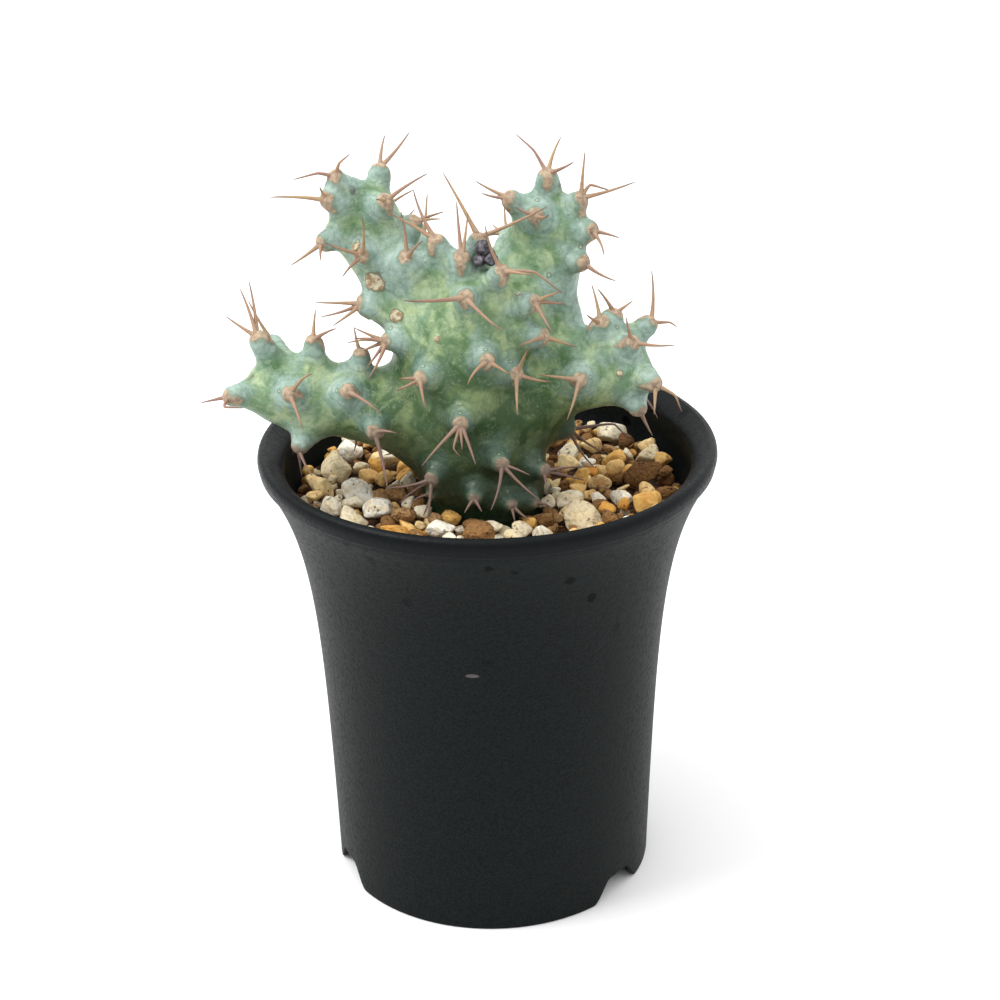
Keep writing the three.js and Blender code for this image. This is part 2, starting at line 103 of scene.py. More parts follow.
room = bpy.data.worlds.new("room")
room.use_nodes = True
bpy.context.scene.world = room
room_nodes = room.node_tree
wall_light = room_nodes.nodes["Background"]
sky_side = Vector((0.12, 0.2, 0.95)).normalized()   # where the even light mostly comes from
towards_sky = vector_maths(room_nodes, "DOT_PRODUCT", add_node(
    room_nodes, "ShaderNodeTexCoord").outputs["Generated"], sky_side)
sky_strength = add_node(room_nodes, "ShaderNodeMapRange", {
    "Value": towards_sky, "From Min": -0.35, "From Max": 0.75, "To Min": 0.06, "To Max": 1.8},
    interpolation_type="SMOOTHSTEP").outputs[0]
room_nodes.links.new(sky_strength, wall_light.inputs["Strength"])
wall_light.inputs["Color"].default_value = (1, 1, 1, 1)
wall_seen = add_node(room_nodes, "ShaderNodeBackground", {"Color": (1, 1, 1, 1), "Strength": 1.05})
eye_ray = add_node(room_nodes, "ShaderNodeLightPath").outputs["Is Camera Ray"]
wall_mix = add_node(room_nodes, "ShaderNodeMixShader", {
    0: eye_ray, 1: wall_light.outputs[0], 2: wall_seen.outputs[0]})
room_nodes.links.new(wall_mix.outputs[0], room_nodes.nodes["World Output"].inputs["Surface"])
bpy.context.scene.view_settings.view_transform = "Standard"

LAMP_PLACE = Vector((-0.42, -0.12, 0.66))   # from the pot's foot, like the point it is turned to
LAMP_AIM = Vector((0, 0, 0.06))
light = bpy.data.lights.new("lamp_left", "AREA")
light.size = 0.34
light.energy = 4.2
lamp = put_in_scene("lamp_left", light)
lamp.location = pot_axis + LAMP_PLACE
lamp.rotation_euler = (pot_axis + LAMP_AIM - lamp.location).to_track_quat("-Z", "Y").to_euler()

CAMERA_AIM = Vector((1.942, 0, 66.552)) * MM   # from the pot's foot
CAMERA_DISTANCE = 0.39
CAMERA_HEIGHT = math.radians(25.391)           # how far it looks down
CAMERA_ROLL = math.radians(-0.824)
camera = put_in_scene("camera", bpy.data.cameras.new("camera"))
camera.data.lens = 85
camera.data.sensor_width = 36
ahead = Vector((0, math.cos(CAMERA_HEIGHT), -math.sin(CAMERA_HEIGHT)))
level_up = Vector((0, math.sin(CAMERA_HEIGHT), math.cos(CAMERA_HEIGHT)))
level_right = Vector((1, 0, 0))
camera_right = level_right * math.cos(CAMERA_ROLL) + level_up * math.sin(CAMERA_ROLL)
camera_up = level_up * math.cos(CAMERA_ROLL) - level_right * math.sin(CAMERA_ROLL)
camera_place = pot_axis + CAMERA_AIM - ahead * CAMERA_DISTANCE
turned = Matrix((camera_right, camera_up, -ahead)).transposed().to_4x4()
camera.matrix_world = Matrix.Translation(camera_place) @ turned
bpy.context.scene.camera = camera

# ======== Pot ========
# A grower's pot, one thin injection moulding in near-black plastic: a flared wall, a rolled lip
# with the mould's parting line under it, a raised floor with drain holes, and a notched foot ring.

POT_HEIGHT = (pot_high.z - pot_low.z) / MM
RIM_RADIUS = (pot_high.x - pot_low.x) / 2 / MM
LIP_WIDTH = 4.2        # from the mouth to the lip's outer edge
LIP_DEPTH = 3.2
LIP_STEP = 0.3         # how far the lip stands proud of the wall
CREST_INSET = 1.3
MOUTH_RADIUS = RIM_RADIUS - LIP_WIDTH
LIP_FOOT = POT_HEIGHT - LIP_DEPTH
FOOT_RADIUS = 26.9
WALL_DRAFT = 0.028     # how far the wall leans out, per mm of height
FLARE_HEIGHT = 13.3    # the flare under the lip fades to a third over this height
WALL = 1.2
FLOOR_UNDER = 5.0
FLOOR_TOP = FLOOR_UNDER + WALL
NOTCH_TURNS = (-68, 52, 172)   # degrees round from the front, + to the right
NOTCH_HALF_WIDTH = 6.2
NOTCH_HEIGHT = 4.0
COLUMNS = 480


def outer_radius(z):
    straight = FOOT_RADIUS + WALL_DRAFT * z
    flare = RIM_RADIUS - 2 * LIP_STEP - (FOOT_RADIUS + WALL_DRAFT * LIP_FOOT)
    return straight + flare * math.exp((z - LIP_FOOT) / FLARE_HEIGHT)


def inner_radius(z):
    return min(outer_radius(z) - WALL, MOUTH_RADIUS)


def curve_points(start, pull, end, count):
    """Points after the start on the smooth curve that leaves it and arrives along its pull."""
    shares = [(i + 1) / count for i in range(count)]
    return [tuple((1 - s) ** 2 * a + 2 * s * (1 - s) * b + s * s * c
                  for a, b, c in zip(start, pull, end)) for s in shares]


def close_rings(columns, rings):
    """Faces over rings of points, closed by one point before the first ring and one after the
    last, which come at the end of the points."""
    first, last, top = rings * columns, rings * columns + 1, (rings - 1) * columns
    faces = []
    for column in range(columns):
        beside = (column + 1) % columns
        faces.append((first, beside, column))
        for low in range(0, top, columns):
            high = low + columns
            faces.append((low + column, low + beside, high + beside, high + column))
        faces.append((last, top + column, top + beside))
    return faces


def turn_on_axis(profile, columns, moved, centre=lambda z: (0, 0)):
    """A closed solid turned round an upright axis from an outline that starts and ends on it."""
    rings = profile[1:-1]
    turns = np.linspace(0, 2 * math.pi, columns, endpoint=False)
    points = []
    for radius, z in rings:
        middle = centre(z)
        points.append(np.stack([middle[0] + radius * np.sin(turns),
                                middle[1] - radius * np.cos(turns),
                                moved(turns, radius, z)], axis=1))
    points = np.concatenate(points).tolist()
    points += [(*centre(z), z) for _, z in (profile[0], profile[-1])]
    return points, close_rings(columns, len(rings))


def make_piece(name, points, faces, material, replaced, marks=None, sharp=None):
    """A piece from points in mm about the pot's axis, with a value per point for each mark."""
    placed = np.asarray(points, dtype=float) * MM + np.array(pot_axis)
    mesh = bpy.data.meshes.new(name)
    mesh.from_pydata(placed.tolist(), [], faces if isinstance(faces, list) else faces.tolist())
    mesh.polygons.foreach_set("use_smooth", [True] * len(mesh.polygons))
    for mark, values in (marks or {}).items():
        mesh.attributes.new(mark, "FLOAT", "POINT").data.foreach_set("value", values)
    mesh.materials.append(material)
    if sharp:
        mesh.set_sharp_from_angle(angle=math.radians(sharp))
    piece = put_in_scene(name, mesh)
    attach(piece, "root")
    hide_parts(*replaced)
    return piece


def cut_notches(turns, radius, z):
    """Lifts the foot ring's lower edge into three arches whose ends run out in a soft curve."""
    reach = FLOOR_UNDER if radius < outer_radius(z) - WALL / 2 else 3 * NOTCH_HEIGHT
    if z >= reach or radius < FOOT_RADIUS - 2 * WALL:
        return np.full(len(turns), float(z))
    lift = np.zeros(len(turns))
    for notch in NOTCH_TURNS:
        aside = (turns - math.radians(notch) + math.pi) % (2 * math.pi) - math.pi
        share = np.clip(np.abs(aside) * radius / NOTCH_HALF_WIDTH, 0, 1)
        eased = np.clip((share - 0.35) / 0.65, 0, 1)
        top = NOTCH_HEIGHT * (1 - 0.12 * share ** 2)
        lift = np.maximum(lift, top * (1 - eased * eased * (3 - 2 * eased)))
    return z + lift * (1 - z / reach)


def pot_outline():
    """From the middle of the floor's underside out, up the outside, over the lip and back in."""
    foot = outer_radius(0)
    foot_inside = foot - WALL
    edge = 0.35        # rounding of the foot ring's edges
    under = 0.8        # rounding under the floor
    corner = 1.2       # rounding where the wall meets the floor inside
    line = [(r, FLOOR_UNDER) for r in (0, 2, 8, 14, 20, foot_inside - under)]
    line += curve_points(line[-1], (foot_inside, FLOOR_UNDER),
                         (foot_inside, FLOOR_UNDER - under), 4)
    line += [(foot_inside, z) for z in (3.2, 2.2, 1.4, 0.8)]
    line += curve_points((foot_inside, edge), (foot_inside, 0), (foot_inside + edge, 0), 3)
    line += curve_points((foot - edge, 0), (foot, 0), (outer_radius(edge), edge), 4)
    line += [(outer_radius(z), z) for z in np.linspace(0.8, LIP_FOOT - 0.25, 64)]
    groove = outer_radius(LIP_FOOT) - 0.12
    line += [(groove, LIP_FOOT - 0.08), (groove + 0.02, LIP_FOOT + 0.02)]
    lip_edge = RIM_RADIUS - LIP_STEP
    line += [(lip_edge - 0.1, LIP_FOOT + 0.06), (lip_edge, LIP_FOOT + 0.2)]
    bulge = (RIM_RADIUS, POT_HEIGHT - 1.6)
    line += [(lip_edge + 0.1, LIP_FOOT + 0.6), (lip_edge + 0.2, LIP_FOOT + 1.1), bulge]
    crest = (RIM_RADIUS - CREST_INSET, POT_HEIGHT)
    line += curve_points(bulge, (RIM_RADIUS, POT_HEIGHT), crest, 8)
    mouth = (MOUTH_RADIUS, LIP_FOOT)
    line += curve_points(crest, (MOUTH_RADIUS, LIP_FOOT + 1.28), mouth, 10)
    line += [(inner_radius(z), z) for z in np.linspace(LIP_FOOT - 0.6, FLOOR_TOP + corner, 50)]
    inside = inner_radius(FLOOR_TOP)
    line += curve_points(line[-1], (inside, FLOOR_TOP), (inside - corner, FLOOR_TOP), 4)
    return line + [(r, FLOOR_TOP) for r in (20, 14, 8, 2, 0)]


# Shared effect: soft clouds of noise, from nothing to full between two levels.
clouds = bpy.data.node_groups.new("clouds", "ShaderNodeTree")
for socket_name, default in (("Size mm", 1.0), ("From", 0.4), ("To", 0.6), ("Detail", 2.0),
                             ("Warp", 0.0)):
    clouds.interface.new_socket(socket_name, in_out="INPUT",
                                socket_type="NodeSocketFloat").default_value = default
clouds.interface.new_socket("Offset", in_out="INPUT", socket_type="NodeSocketVector")
clouds.interface.new_socket("Mask", in_out="OUTPUT", socket_type="NodeSocketFloat")
group_in = add_node(clouds, "NodeGroupInput").outputs
shifted = vector_maths(clouds, "ADD", add_node(clouds, "ShaderNodeTexCoord").outputs["Object"],
                       group_in["Offset"])
fineness = add_node(clouds, "ShaderNodeMath", {0: 1000.0, 1: group_in["Size mm"]},
                    operation="DIVIDE").outputs[0]
cloud_noise = add_node(clouds, "ShaderNodeTexNoise", {
    "Vector": shifted, "Scale": fineness, "Detail": group_in["Detail"],
    "Distortion": group_in["Warp"]}).outputs[0]
cloud_mask = add_node(clouds, "ShaderNodeMapRange", {
    "Value": cloud_noise, "From Min": group_in["From"], "From Max": group_in["To"]},
    interpolation_type="SMOOTHSTEP").outputs[0]
add_node(clouds, "NodeGroupOutput", {"Mask": cloud_mask})


def cloud(tree, size, low, high, detail=2.0, warp=0.0, offset=0.0):
    inputs = {"Size mm": size, "From": low, "To": high, "Detail": detail, "Warp": warp,
              "Offset": (offset, offset * 0.7, -offset)}
    return add_node(tree, "ShaderNodeGroup", inputs, node_tree=clouds).outputs["Mask"]


def mix_paint(tree, share, under, over, strength=1):
    """One paint over another where the share says; a paint is a node's or (red, green, blue)."""
    if strength != 1:
        share = times(tree, share, strength)
    under, over = (paint(*p) if isinstance(p, tuple) else p for p in (under, over))
    made = add_node(tree, "ShaderNodeMix", {0: share, 6: under, 7: over}, data_type="RGBA")
    return made.outputs[2]


def coats(tree, base, *layers):
    """Coats of paint over a base, each (where, paint) or (where, paint, strength)."""
    for where, over, *strength in layers:
        base = mix_paint(tree, where, base, over, *strength)
    return base


def maths(tree, operation, first, second=0.0):
    return add_node(tree, "ShaderNodeMath", {0: first, 1: second}, operation=operation).outputs[0]


def times(tree, first, second):
    return maths(tree, "MULTIPLY", first, second)


def roughened(tree, value, noise, by):
    """A value with a cloud's noise added, so that its edges wander."""
    return maths(tree, "ADD", value, times(tree, noise, by))


def ramp(tree, value, low, high, start=0.0, end=1.0):
    """A value that goes softly from start to end as the given one goes from low to high."""
    return add_node(tree, "ShaderNodeMapRange", {
        "Value": value, "From Min": low, "From Max": high, "To Min": start, "To Max": end},
        interpolation_type="SMOOTHSTEP").outputs[0]


def raise_surface(tree, height, depth, normal=None):
    inputs = {"Height": height, "Distance": depth * MM, "Strength": 1.0}
    if normal is not None:
        inputs["Normal"] = normal
    return add_node(tree, "ShaderNodeBump", inputs).outputs[0]


def object_place(tree):
    return add_node(tree, "ShaderNodeTexCoord").outputs["Object"]


def part_of(tree, vector, letter):
    return add_node(tree, "ShaderNodeSeparateXYZ", {0: vector}).outputs[letter]


def read_mark(tree, name):
    """A value that the piece's points carry."""
    return add_node(tree, "ShaderNodeAttribute", attribute_name=name).outputs["Fac"]


def finish_shader(tree, shader, colour, bump, **others):
    """Joins what was mixed to the shader's own sockets."""
    for socket, value in {"Base Color": colour, "Normal": bump, **others}.items():
        tree.links.new(value, shader.inputs[socket.replace("_", " ")])


pot_plastic, tree, shader = new_material("pot_plastic")
height = part_of(tree, object_place(tree), "Z")
mould_grain = cloud(tree, 0.33, 0.3, 0.7, 3)
speckle = cloud(tree, 0.7, 0.42, 0.66, 4, offset=3)
haze = cloud(tree, 14, 0.35, 0.7, 3, offset=5)
fine_dust = cloud(tree, 0.36, 0.4, 0.6, 2, offset=12)
lip_band = ramp(tree, height, (LIP_FOOT - 0.05) * MM, (LIP_FOOT + 0.1) * MM)

# Dried water drops: small cells, of which chance keeps some, in patches high on the wall.
drops = add_node(tree, "ShaderNodeTexVoronoi", {"Vector": object_place(tree), "Scale": 240},
                 feature="F1").outputs
splashed = times(tree, cloud(tree, 14, 0.46, 0.56, 1, offset=9), ramp(tree, height, 0.048, 0.060))
drop_luck = ramp(tree, part_of(tree, drops["Color"], "X"), 0.55, 0.6)
drop_shape = roughened(tree, drops["Distance"], cloud(tree, 1.4, 0.2, 0.8, 2, offset=7), 0.12)
water_spots = times(tree, ramp(tree, drop_shape, 0.32, 0.26), times(tree, splashed, drop_luck))

FLECK_AT = Vector((-2.8, -29.5, 50.0))   # a pale rub mark on the front of the wall
fleck_away = vector_maths(tree, "SUBTRACT", object_place(tree), pot_axis + FLECK_AT * MM)
fleck_flat = vector_maths(tree, "MULTIPLY", fleck_away, (1.1, 0.3, 3.4))
fleck = ramp(tree, vector_maths(tree, "LENGTH", fleck_flat), 0.0014, 0.0009)
wall_paint = coats(
    tree, mix_paint(tree, speckle, (7, 10, 10), (15, 20, 20)),
    (haze, (10, 14, 14)),
    (fine_dust, (27, 33, 34), 0.4),
    (water_spots, (3, 4, 5)),
    (lip_band, (13, 16, 18)),
    (fleck, (84, 78, 80)))
gloss = ramp(tree, speckle, 0, 1, 0.46, 0.56)
gloss = maths(tree, "SUBTRACT", gloss, times(tree, water_spots, 0.1))
gloss = maths(tree, "SUBTRACT", gloss, times(tree, lip_band, 0.08))
grained = raise_surface(tree, mould_grain, 0.016)
finish_shader(tree, shader, wall_paint, raise_surface(tree, speckle, 0.014, grained),
              Roughness=gloss, Specular_IOR_Level=ramp(tree, water_spots, 0, 1, 0.085, 0.045))

pot_points, pot_faces = turn_on_axis(pot_outline(), COLUMNS, cut_notches)
pot = make_piece("pot_moulding", pot_points, pot_faces, pot_plastic, ["pot"])

DRAIN_RADIUS = 4.0
SLOT_LENGTH = 9.0
SLOT_WIDTH = 3.0
SLOT_COUNT = 6
SLOT_PLACE = 0.55      # how far out the slots' middles are, as a share of the foot's radius
CUTTER_SIDES = 32


def add_part(points, faces, more_points, more_faces):
    """Adds a closed part to the points and faces of a piece."""
    start = len(points)
    faces += [[start + int(k) for k in face] for face in more_faces]
    points += np.asarray(more_points).tolist()


def drain_cutter(middle, direction, length, width):
    """An upright prism with round ends, through the floor."""
    side = (-direction[1], direction[0])
    straight = (length - width) / 2
    outline = []
    for i in range(CUTTER_SIDES):
        turn = 2 * math.pi * i / CUTTER_SIDES
        along = math.cos(turn) * width / 2 + math.copysign(straight, math.cos(turn))
        across = math.sin(turn) * width / 2
        outline.append((middle[0] + direction[0] * along + side[0] * across,
                        middle[1] + direction[1] * along + side[1] * across))
    points = [(x, y, z) for z in (FLOOR_UNDER - 1, FLOOR_TOP + 1) for x, y in outline]
    n = CUTTER_SIDES
    faces = [tuple(reversed(range(n))), tuple(range(n, 2 * n))]
    faces += [(i, (i + 1) % n, n + (i + 1) % n, n + i) for i in range(n)]
    return points, faces


cut_points, cut_faces = drain_cutter((0, 0), (1, 0), 2 * DRAIN_RADIUS, 2 * DRAIN_RADIUS)
for i in range(SLOT_COUNT):
    turn = 2 * math.pi * i / SLOT_COUNT
    direction = (math.cos(turn), math.sin(turn))
    middle = (direction[0] * FOOT_RADIUS * SLOT_PLACE, direction[1] * FOOT_RADIUS * SLOT_PLACE)
    add_part(cut_points, cut_faces, *drain_cutter(middle, direction, SLOT_LENGTH, SLOT_WIDTH))
cutter_mesh = bpy.data.meshes.new("drain_cutter")
cutter_mesh.from_pydata([tuple(Vector(p) * MM + pot_axis) for p in cut_points], [], cut_faces)
cutter = put_in_scene("drain_cutter", cutter_mesh)
drilling = pot.modifiers.new("drain_holes", "BOOLEAN")
drilling.object = cutter
drilling.operation = "DIFFERENCE"
drilled = bpy.data.meshes.new_from_object(pot.evaluated_get(bpy.context.evaluated_depsgraph_get()))
pot.modifiers.clear()
pot.data = drilled
drilled.set_sharp_from_angle(angle=math.radians(38))
bpy.data.objects.remove(cutter)

# ======== Stems ========
# The plant: one column and four side stems, grown as a single succulent body of blue-green skin
# with tubercles. Each stem is a closed piece, cut where the next one starts from it.

MIX_TOP = (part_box("potting_mix")[1].z - pot_axis.z) / MM
STEM_FOOT = MIX_TOP - 1.4
CELL = 0.36              # spacing of the grid that the skin is drawn on
STEMS_MERGE = 5.0        # how widely one stem rounds into the next
TUBERCLES_MERGE = 2.8
SLIMMER = 0.9            # what the merging adds to a stem's radius
MARGIN = 6.0
STEMS = {}


def add_stem(name, buried, tip_short, sections, *tubercles):
    """Sections are [x, y, height over the foot, radius]. The flesh ends `tip_short` mm before the
    axis. A tubercle is (mm up its stem past the buried part, degrees round it with 0 at the front,
    mm that it stands out, degrees that it leans up, spines). A spine is [lift to the tip, swing
    sideways, length], and a bent one ends with one more part (x, y, z)."""
    mounds = [{"along": along, "turn": turn, "rise": rise, "lean": lean, "spines": spines}
              for along, turn, rise, lean, *spines in tubercles]
    STEMS[name] = {"buried": buried, "tip_short": tip_short, "sections": sections,
                   "tubercles": mounds}


add_stem(
    "main_stem", 30.1, 6.3,
    [[-0.5, -3, -30, 1.5], [-0.5, -3, -14, 6.5], [-0.5, -3, 0, 10.2],
     [-1, -3, 8, 11.2], [-2.5, -2.5, 19, 12], [-3.2, -1.5, 29, 12.3],
     [-3, -1, 37, 10.2]],
    (36, 0, 3.5, 20, [-5, -55, 11.5], [-35, 50, 9]),
    (29, 15, 2.5, 5, [-25, -55, 6], [-30, 55, 4]),
    (25.5, 35, 2.5, 5, [55, 5, 5.5], [-20, 55, 5.5], [-45, -45, 7.5]),
    (26, -30, 2.5, 5, [5, -60, 3], [-35, 45, 6], [-25, -60, 4]),
    (20.5, -5, 3, 0, [-30, -50, 9], [-50, 30, 7], [-55, -35, 4, (1, -0.5, -1)],
     [-60, 5, 4]),
    (14.5, 17, 3.5, -5, [-40, -45, 7.5], [-20, 55, 4.5], [-40, 40, 8]),
    (10.5, 50, 3, -5, [-20, -55, 4], [-25, 55, 6.5], [0, 50, 5.5]),
    (13, -32, 3, -5, [5, -55, 7], [-25, -55, 6], [-55, 10, 6]),
    (8, -5, 2, 0, [-20, -30, 3], [-20, 30, 3]),
    (6, 22, 2, 0, [-50, -20, 2.5], [-35, 35, 3.5]),
    (8.5, -38, 2, 0, [-10, -45, 3], [-50, 0, 3.5]),
    (5, 42, 2, 0, [-10, 30, 2.5]),
    (35.5, -60, 4, 40, [50, -20, 7], [20, 65, 8.5]),
    (34.5, -40, 5, 60, [30, -50, 8.5], [-10, -55, 8]),
    (32.5, -5, 4, 60, [55, -15, 8.5], [65, 10, 7]),
    (31, 30, 6, 75, [55, -20, 11.5], [-25, 55, 11.5]),
    (33, 30, 5, 45, [-30, 50, 5, (4.2, -0.5, -3.4)], [50, -35, 7.5],
     [-40, 35, 5.5]),
    (34, 50, 4.5, 20, [-20, 50, 4.5], [-50, -35, 6.5], [10, 45, 4]),
    (30, 55, 4, 10, [5, -85, 9], [-30, 45, 5]),
    (29.5, -78, 6.5, 25, [-25, -25, 7], [-60, 20, 5.5], [-45, -20, 6.5]),
    (33, -70, 4, 40),
    (31.5, -62, 3, 0, [-10, -55, 6.5], [-40, 40, 7], [20, -50, 5],
     [-55, 0, 5], [5, -35, 4.5], [-30, -60, 6]),
    (17.5, 95, 5, -20, [10, 25, 8, (2.6, 0, -3.6)], [-45, -30, 7],
     [-30, 20, 7.5]),
    (33, 95, 5, 20, [15, 35, 6]),
    (29, 100, 6, 10, [-30, -60, 3.5], [-60, -35, 2.5]),
    (34, 140, 4, 40, [20, -30, 7], [10, 40, 8]),
    (34, -140, 4, 40, [20, -30, 8], [10, 40, 6]),
    (27, 180, 3, 10, [10, -40, 8], [-15, 40, 7]),
    (21, 150, 3, 5, [5, -40, 7], [-10, 40, 8]),
    (21, -150, 3, 5, [5, -40, 8], [-10, 40, 6]),
    (13, 180, 3, 0, [0, -40, 7], [-10, 40, 7]),
    (9, 125, 2.5, 0, [10, -40, 5], [0, 40, 6]),
    (9, -125, 2.5, 0, [10, -40, 6], [0, 40, 5]),
)
add_stem(
    "arm_left", 0, 3.6,
    [[-10, -4, 16.5, 7.6], [-17, -4, 19, 7], [-23.5, -4, 20.4, 6.5],
     [-31.5, -3.5, 22.1, 6.8], [-36, -3, 23.1, 5.8]],
    (22, -5, 5, 55, [40, -45, 4.5], [-65, -10, 3, (3.1, 0, -0.2)]),
    (21.5, 70, 6, 35, [0, 55, 9], [10, 50, 8], [45, 30, 5.5]),
    (20, 20, 2.5, 10, [-35, 45, 7], [-35, -50, 7.5]),
    (13, 35, 2.5, 0, [-45, -40, 8]),
    (18, 80, 4.5, 10, [0, 50, 4.5], [-45, -40, 6]),
    (12, 80, 3.5, 0, [25, 50, 4]),
    (16.5, -50, 3.5, 15, [-30, -50, 4.5], [-50, 35, 5.5]),
    (8, 0, 3.5, 0, [-45, 40, 4.5], [-25, -55, 9]),
    (22, 150, 4.5, 30, [20, -40, 7], [0, 40, 6]),
    (15, 180, 3, 5, [10, 0, 6], [-10, 40, 5]),
    (19, -120, 3.5, 15, [-30, -30, 4], [-30, 30, 5]),
    (10, -140, 3, 0, [0, 40, 6]),
)
add_stem(
    "arm_right", 0, 4.6,
    [[4, -2.5, 19, 8], [11.5, -3, 23.5, 7.2], [18, -3.5, 25, 6.9],
     [23.5, -4, 26.5, 6.2]],
    (14, -70, 4, 20, [-20, -55, 6], [-40, 40, 4.5]),
    (14.5, -85, 4.5, 30, [-50, 25, 5.5], [45, -30, 3]),
    (15, -105, 5.5, 60, [-50, -30, 8], [50, -30, 2.8, (1, 0, -0.8)]),
    (16, -45, 4, 40, [-35, -45, 4.5], [50, 30, 6.5]),
    (19, 10, 4, 35, [-45, 40, 5], [30, 50, 3.2, (1, 0, -2.8)]),
    (13, -15, 2.5, 0, [-50, -30, 7.5], [-20, 55, 7]),
    (18.5, 45, 3, 15, [0, 40, 4]),
    (15, 180, 3.5, 10, [-10, -15, 5], [0, 30, 5]),
    (12, 150, 3, 5, [10, -40, 7], [-10, 40, 5]),
    (18, 118, 2, 15, [10, -40, 5], [-10, 40, 5]),
    (10, -150, 3, 5, [10, -40, 6]),
)
add_stem(
    "arm_upper_left", 0, 6.5,
    [[-10, 1, 35, 6.2], [-15.5, 2, 41.5, 6], [-18, 3, 46.5, 5.8],
     [-20, 3.5, 52, 5]],
    (17.5, -10, 5, 55, [-5, -55, 2.5, (-3.8, 0, -1)],
     [25, 55, 2, (1.7, 0, 1.4)]),
    (13, 100, 6, 60, [-5, 45, 6], [-30, 50, 9]),
    (19, -25, 4, 25, [10, -55, 8.5], [50, 15, 2.5]),
    (15, 40, 4, 25, [-5, 55, 7.5], [5, -55, 3.5]),
    (15.5, -50, 4, 5, [-20, -55, 6], [-25, 55, 4.5]),
    (10, 60, 4.5, 15, [-25, 50, 4.5], [-40, 20, 4]),
    (12, -10, 2.5, 0, [40, 45, 9], [45, -45, 6.5], [-20, -50, 4.5]),
    (13.5, 165, 3.5, 15, [-10, -40, 6], [-25, 40, 5]),
    (14, -135, 3, 5, [0, -20, 5], [-20, 30, 4]),
    (11, 170, 3, 5, [10, -40, 6], [-10, 40, 7]),
)
add_stem(
    "arm_upper_right", 0, 6.0,
    [[7, 3, 32, 6.4], [9.5, 4, 37, 5.9], [10, 5, 43, 6.4], [10, 6, 49, 5.6]],
    (13.5, 0, 6, 65, [40, -45, 4, (-2.8, 1.7, 2.1)], [50, 35, 6], [-30, 50, 6]),
    (13.5, 40, 5, 40, [55, 15, 7], [-10, 55, 8.5],
     [35, 40, 2.2, (3.5, 0, -1.2)]),
    (14.5, -45, 5, 35, [5, -55, 5.5], [-15, -55, 4]),
    (15, -15, 2.5, 20, [15, -55, 3.5], [-5, 55, 3.5]),
    (13.5, 45, 4.5, 10, [-25, 50, 4], [-45, -35, 5.5]),
    (10.5, 35, 4, 0, [-30, 50, 5.5]),
    (11.5, 165, 3.5, 15, [-10, -40, 6], [-20, 40, 5]),
    (12, -135, 3, 5, [0, -20, 5], [-20, 30, 4]),
    (10, 170, 3, 5, [10, -40, 6], [-10, 40, 6]),
)


def axis_of(stem):
    """Close points along a stem's curved axis, the length reached at each, and a frame finder."""
    knots = np.array([[x, y, STEM_FOOT + z] for x, y, z, _ in stem["sections"]])
    ends = [2 * knots[0] - knots[1], *knots, 2 * knots[-1] - knots[-2]]
    line = [knots[0]]
    for before, start, end, after in zip(ends, ends[1:], ends[2:], ends[3:]):
        steps = [np.sqrt(np.linalg.norm(b - a)) for a, b in
                 ((before, start), (start, end), (end, after))]
        leave = ((start - before) / steps[0] - (end - before) / (steps[0] + steps[1])
                 + (end - start) / steps[1]) * steps[1]
        arrive = ((end - start) / steps[1] - (after - start) / (steps[1] + steps[2])
                  + (after - end) / steps[2]) * steps[1]
        for s in np.linspace(0, 1, 41)[1:]:
            line.append((2 * s ** 3 - 3 * s ** 2 + 1) * start + (s ** 3 - 2 * s ** 2 + s) * leave
                        + (3 * s ** 2 - 2 * s ** 3) * end + (s ** 3 - s ** 2) * arrive)
    line = np.array(line)
    reached = np.concatenate([[0], np.cumsum(np.linalg.norm(np.diff(line, axis=0), axis=1))])
    knot_reach = np.concatenate([[0], np.cumsum(np.linalg.norm(np.diff(knots, axis=0), axis=1))])
    radii = [section[3] for section in stem["sections"]]

    def at(distance):
        distance = min(max(distance, 0), reached[-1])
        spots = [np.array([np.interp(d, reached, line[:, i]) for i in range(3)])
                 for d in (distance, distance - 0.2, distance + 0.2)]
        tangent = spots[2] - spots[1]
        tangent /= np.linalg.norm(tangent)
        front = np.array([0, -1.0, 0]) + tangent * tangent[1]
        front /= np.linalg.norm(front)
        return spots[0], tangent, front, float(np.interp(distance, knot_reach, radii))

    return reached[-1], at


def mound_frame(at, stem, mound):
    """Where a tubercle's woolly tip is, and its directions: out, round the stem, and up it."""
    point, tangent, front, radius = at(mound["along"] + stem["buried"])
    turn, lean = math.radians(mound["turn"]), math.radians(mound["lean"])
    normal = front * math.cos(turn) + np.cross(tangent, front) * math.sin(turn)
    around = np.cross(tangent, normal)
    out = normal * math.cos(lean) + tangent * math.sin(lean)
    up = tangent * math.cos(lean) - normal * math.sin(lean)
    return {"tip": point + out * (radius + mound["rise"]), "root": point + out * radius * 0.55,
            "out": out, "around": around, "up": up, "rise": mound["rise"],
            "spines": mound["spines"]}


def round_merge(first, second, width):
    """The nearer of two distances, eased where they are about the same."""
    share = np.clip(width - np.abs(first - second), 0, None) / width
    return np.minimum(first, second) - share * share * width / 4


def away_from_spoke(grid, start, end, start_radius, end_radius):
    """Distance of each grid point from a straight tapering spoke with round ends."""
    spoke = end - start
    length = float(spoke @ spoke)
    shares = sum((g - s) * d for g, s, d in zip(grid, start, spoke)) / length
    shares = np.clip(shares, 0, 1).astype(np.float32)
    squares = sum((g - s - shares * d) ** 2 for g, s, d in zip(grid, start, spoke))
    return np.sqrt(squares) - (start_radius + (end_radius - start_radius) * shares)


stem_axes = {name: axis_of(stem) for name, stem in STEMS.items()}
mounds = {name: [mound_frame(stem_axes[name][1], stem, m) for m in stem["tubercles"]]
          for name, stem in STEMS.items()}

